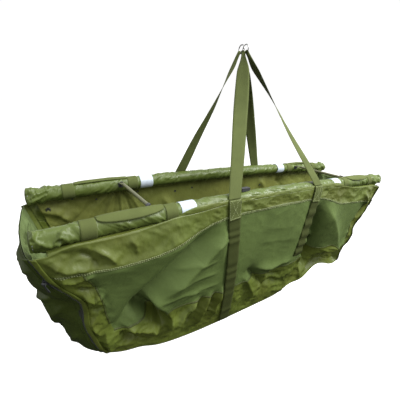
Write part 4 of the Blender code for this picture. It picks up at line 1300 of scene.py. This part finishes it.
def make_grip(word, side, end_word, sign):
    """A slack grip: webbing laid over the float's top from an inner edge, wider and lifted
    at its middle, with creases where it is gathered into the wraps."""
    start = wrap_places["inner"] + wrap_width / 2 + 0.0003
    end = wrap_places["outer"] - wrap_width / 2 - 0.0003
    share = np.linspace(0, 1, 80)[:, None]
    spread = np.linspace(0, 1, 13)[None]
    full = np.sin(pi * share) ** 0.5
    width = 0.012 + 0.024 * np.sin(pi * share) ** 0.35
    radius = sleeve_radius + 0.0003 + webbing / 2 + 0.0032 * full
    angle = radians(118.0) - width / radius * spread
    x = start + (end - start) * share + 0 * angle
    crease = np.sin(spread * 2 * pi * 2.5) * (1 - full) * 0.0012
    crease = crease + 0.0012 * bump_noise(x / 0.03, angle / 0.5, 151 + side) * full
    thick = rounded_edge(2 * spread - 1) * webbing / 2

    def face(height):
        out = radius + np.maximum(crease, 0) + height
        return on_float(sign * x, side, out, angle, side)

    grip = f"{word}_{end_word}_grip"
    piece = closed_strip(f"{grip}_webbing", face(thick), face(-thick), joined(spread * width, x),
                         "webbing", grip, grip)


for word, side in both_sides:
    for end_word, sign in both_ends:
        make_grip(word, side, end_word, sign)


# ---------------------------------------------------------------- camera, light and floor

camera_place = np.array([-0.6052, -0.6182, 0.2235]) + hang
camera_azimuth, camera_drop, camera_roll = map(radians, (34.2, 19.47, 3.98))
sensor_width, focal_share = 36.0, 261.8 / 400
floor_drop, floor_reach = 0.60, 60.0


def stand(name, data):
    placed = bpy.data.objects.new(name, data)
    bpy.context.scene.collection.objects.link(placed)
    return placed


def make_camera():
    """Looks along the azimuth and down by the drop, rolled about its own axis."""
    azimuth, drop, roll = camera_azimuth, camera_drop, camera_roll
    forward = np.array([sin(azimuth) * cos(drop), cos(azimuth) * cos(drop), -sin(drop)])
    level = np.array([cos(azimuth), -sin(azimuth), 0.0])
    upward = np.cross(level, forward)
    right = level * cos(roll) + upward * sin(roll)
    up = -level * sin(roll) + upward * cos(roll)
    data = bpy.data.cameras.new("camera")
    data.sensor_width = sensor_width
    data.lens = focal_share * sensor_width
    data.clip_start = 0.01
    camera = stand("camera", data)
    turn = Matrix([[right[i], up[i], -forward[i]] for i in range(3)]).to_4x4()
    camera.matrix_world = Matrix.Translation(camera_place) @ turn
    bpy.context.scene.camera = camera


def make_light(name, place, target, size, power):
    data = bpy.data.lights.new(name, "AREA")
    data.shape = "DISK"
    data.size = size
    data.energy = power
    light = stand(name, data)
    light.location = place
    light.rotation_mode = "QUATERNION"
    light.rotation_quaternion = (Vector(place) - Vector(target)).to_track_quat("Z", "Y")


def make_sky():
    """White light from the upper half of the sky and little from below."""
    world = bpy.data.worlds.new("studio")
    bpy.context.scene.world = world
    world.use_nodes = True
    nodes, links = world.node_tree.nodes, world.node_tree.links
    place = nodes.new("ShaderNodeTexCoord")
    parts = nodes.new("ShaderNodeSeparateXYZ")
    ramp = nodes.new("ShaderNodeMapRange")
    for socket, value in (("From Min", -0.28), ("From Max", -0.05), ("To Min", 0.03),
                          ("To Max", 1.02)):
        ramp.inputs[socket].default_value = value
    links.new(place.outputs["Generated"], parts.inputs["Vector"])
    links.new(parts.outputs["Z"], ramp.inputs["Value"])
    links.new(ramp.outputs["Result"], nodes["Background"].inputs["Strength"])
    nodes["Background"].inputs["Color"].default_value = (1.0, 1.0, 1.0, 1)


def make_floor():
    """A pale floor well below the sling, that throws no light back on it."""
    mesh = bpy.data.meshes.new("floor")
    corners = ((-1, -1), (1, -1), (1, 1), (-1, 1))
    mesh.from_pydata([(x * floor_reach, y * floor_reach, cad_low[2] - floor_drop)
                      for x, y in corners], [], [(0, 1, 2, 3)])
    pale = Finish("floor_paint", (1.0, 1.0, 1.0), 0.9, specular=0.0)
    pale.shader.inputs["Emission Color"].default_value = (1.0, 1.0, 1.0, 1)
    pale.shader.inputs["Emission Strength"].default_value = 0.30
    mesh.materials.append(pale.done())
    floor = stand("floor", mesh)
    floor.visible_diffuse = False
    floor.visible_glossy = False


make_camera()
make_light("key", (1.10, -1.05, 0.80), (0.20, 0.0, -0.55), 0.9, 50)
make_light("top", (0.15, -0.55, 1.35), (0.05, -0.10, -0.40), 1.5, 40)
make_sky()
make_floor()
bpy.context.scene.view_settings.view_transform = "Standard"
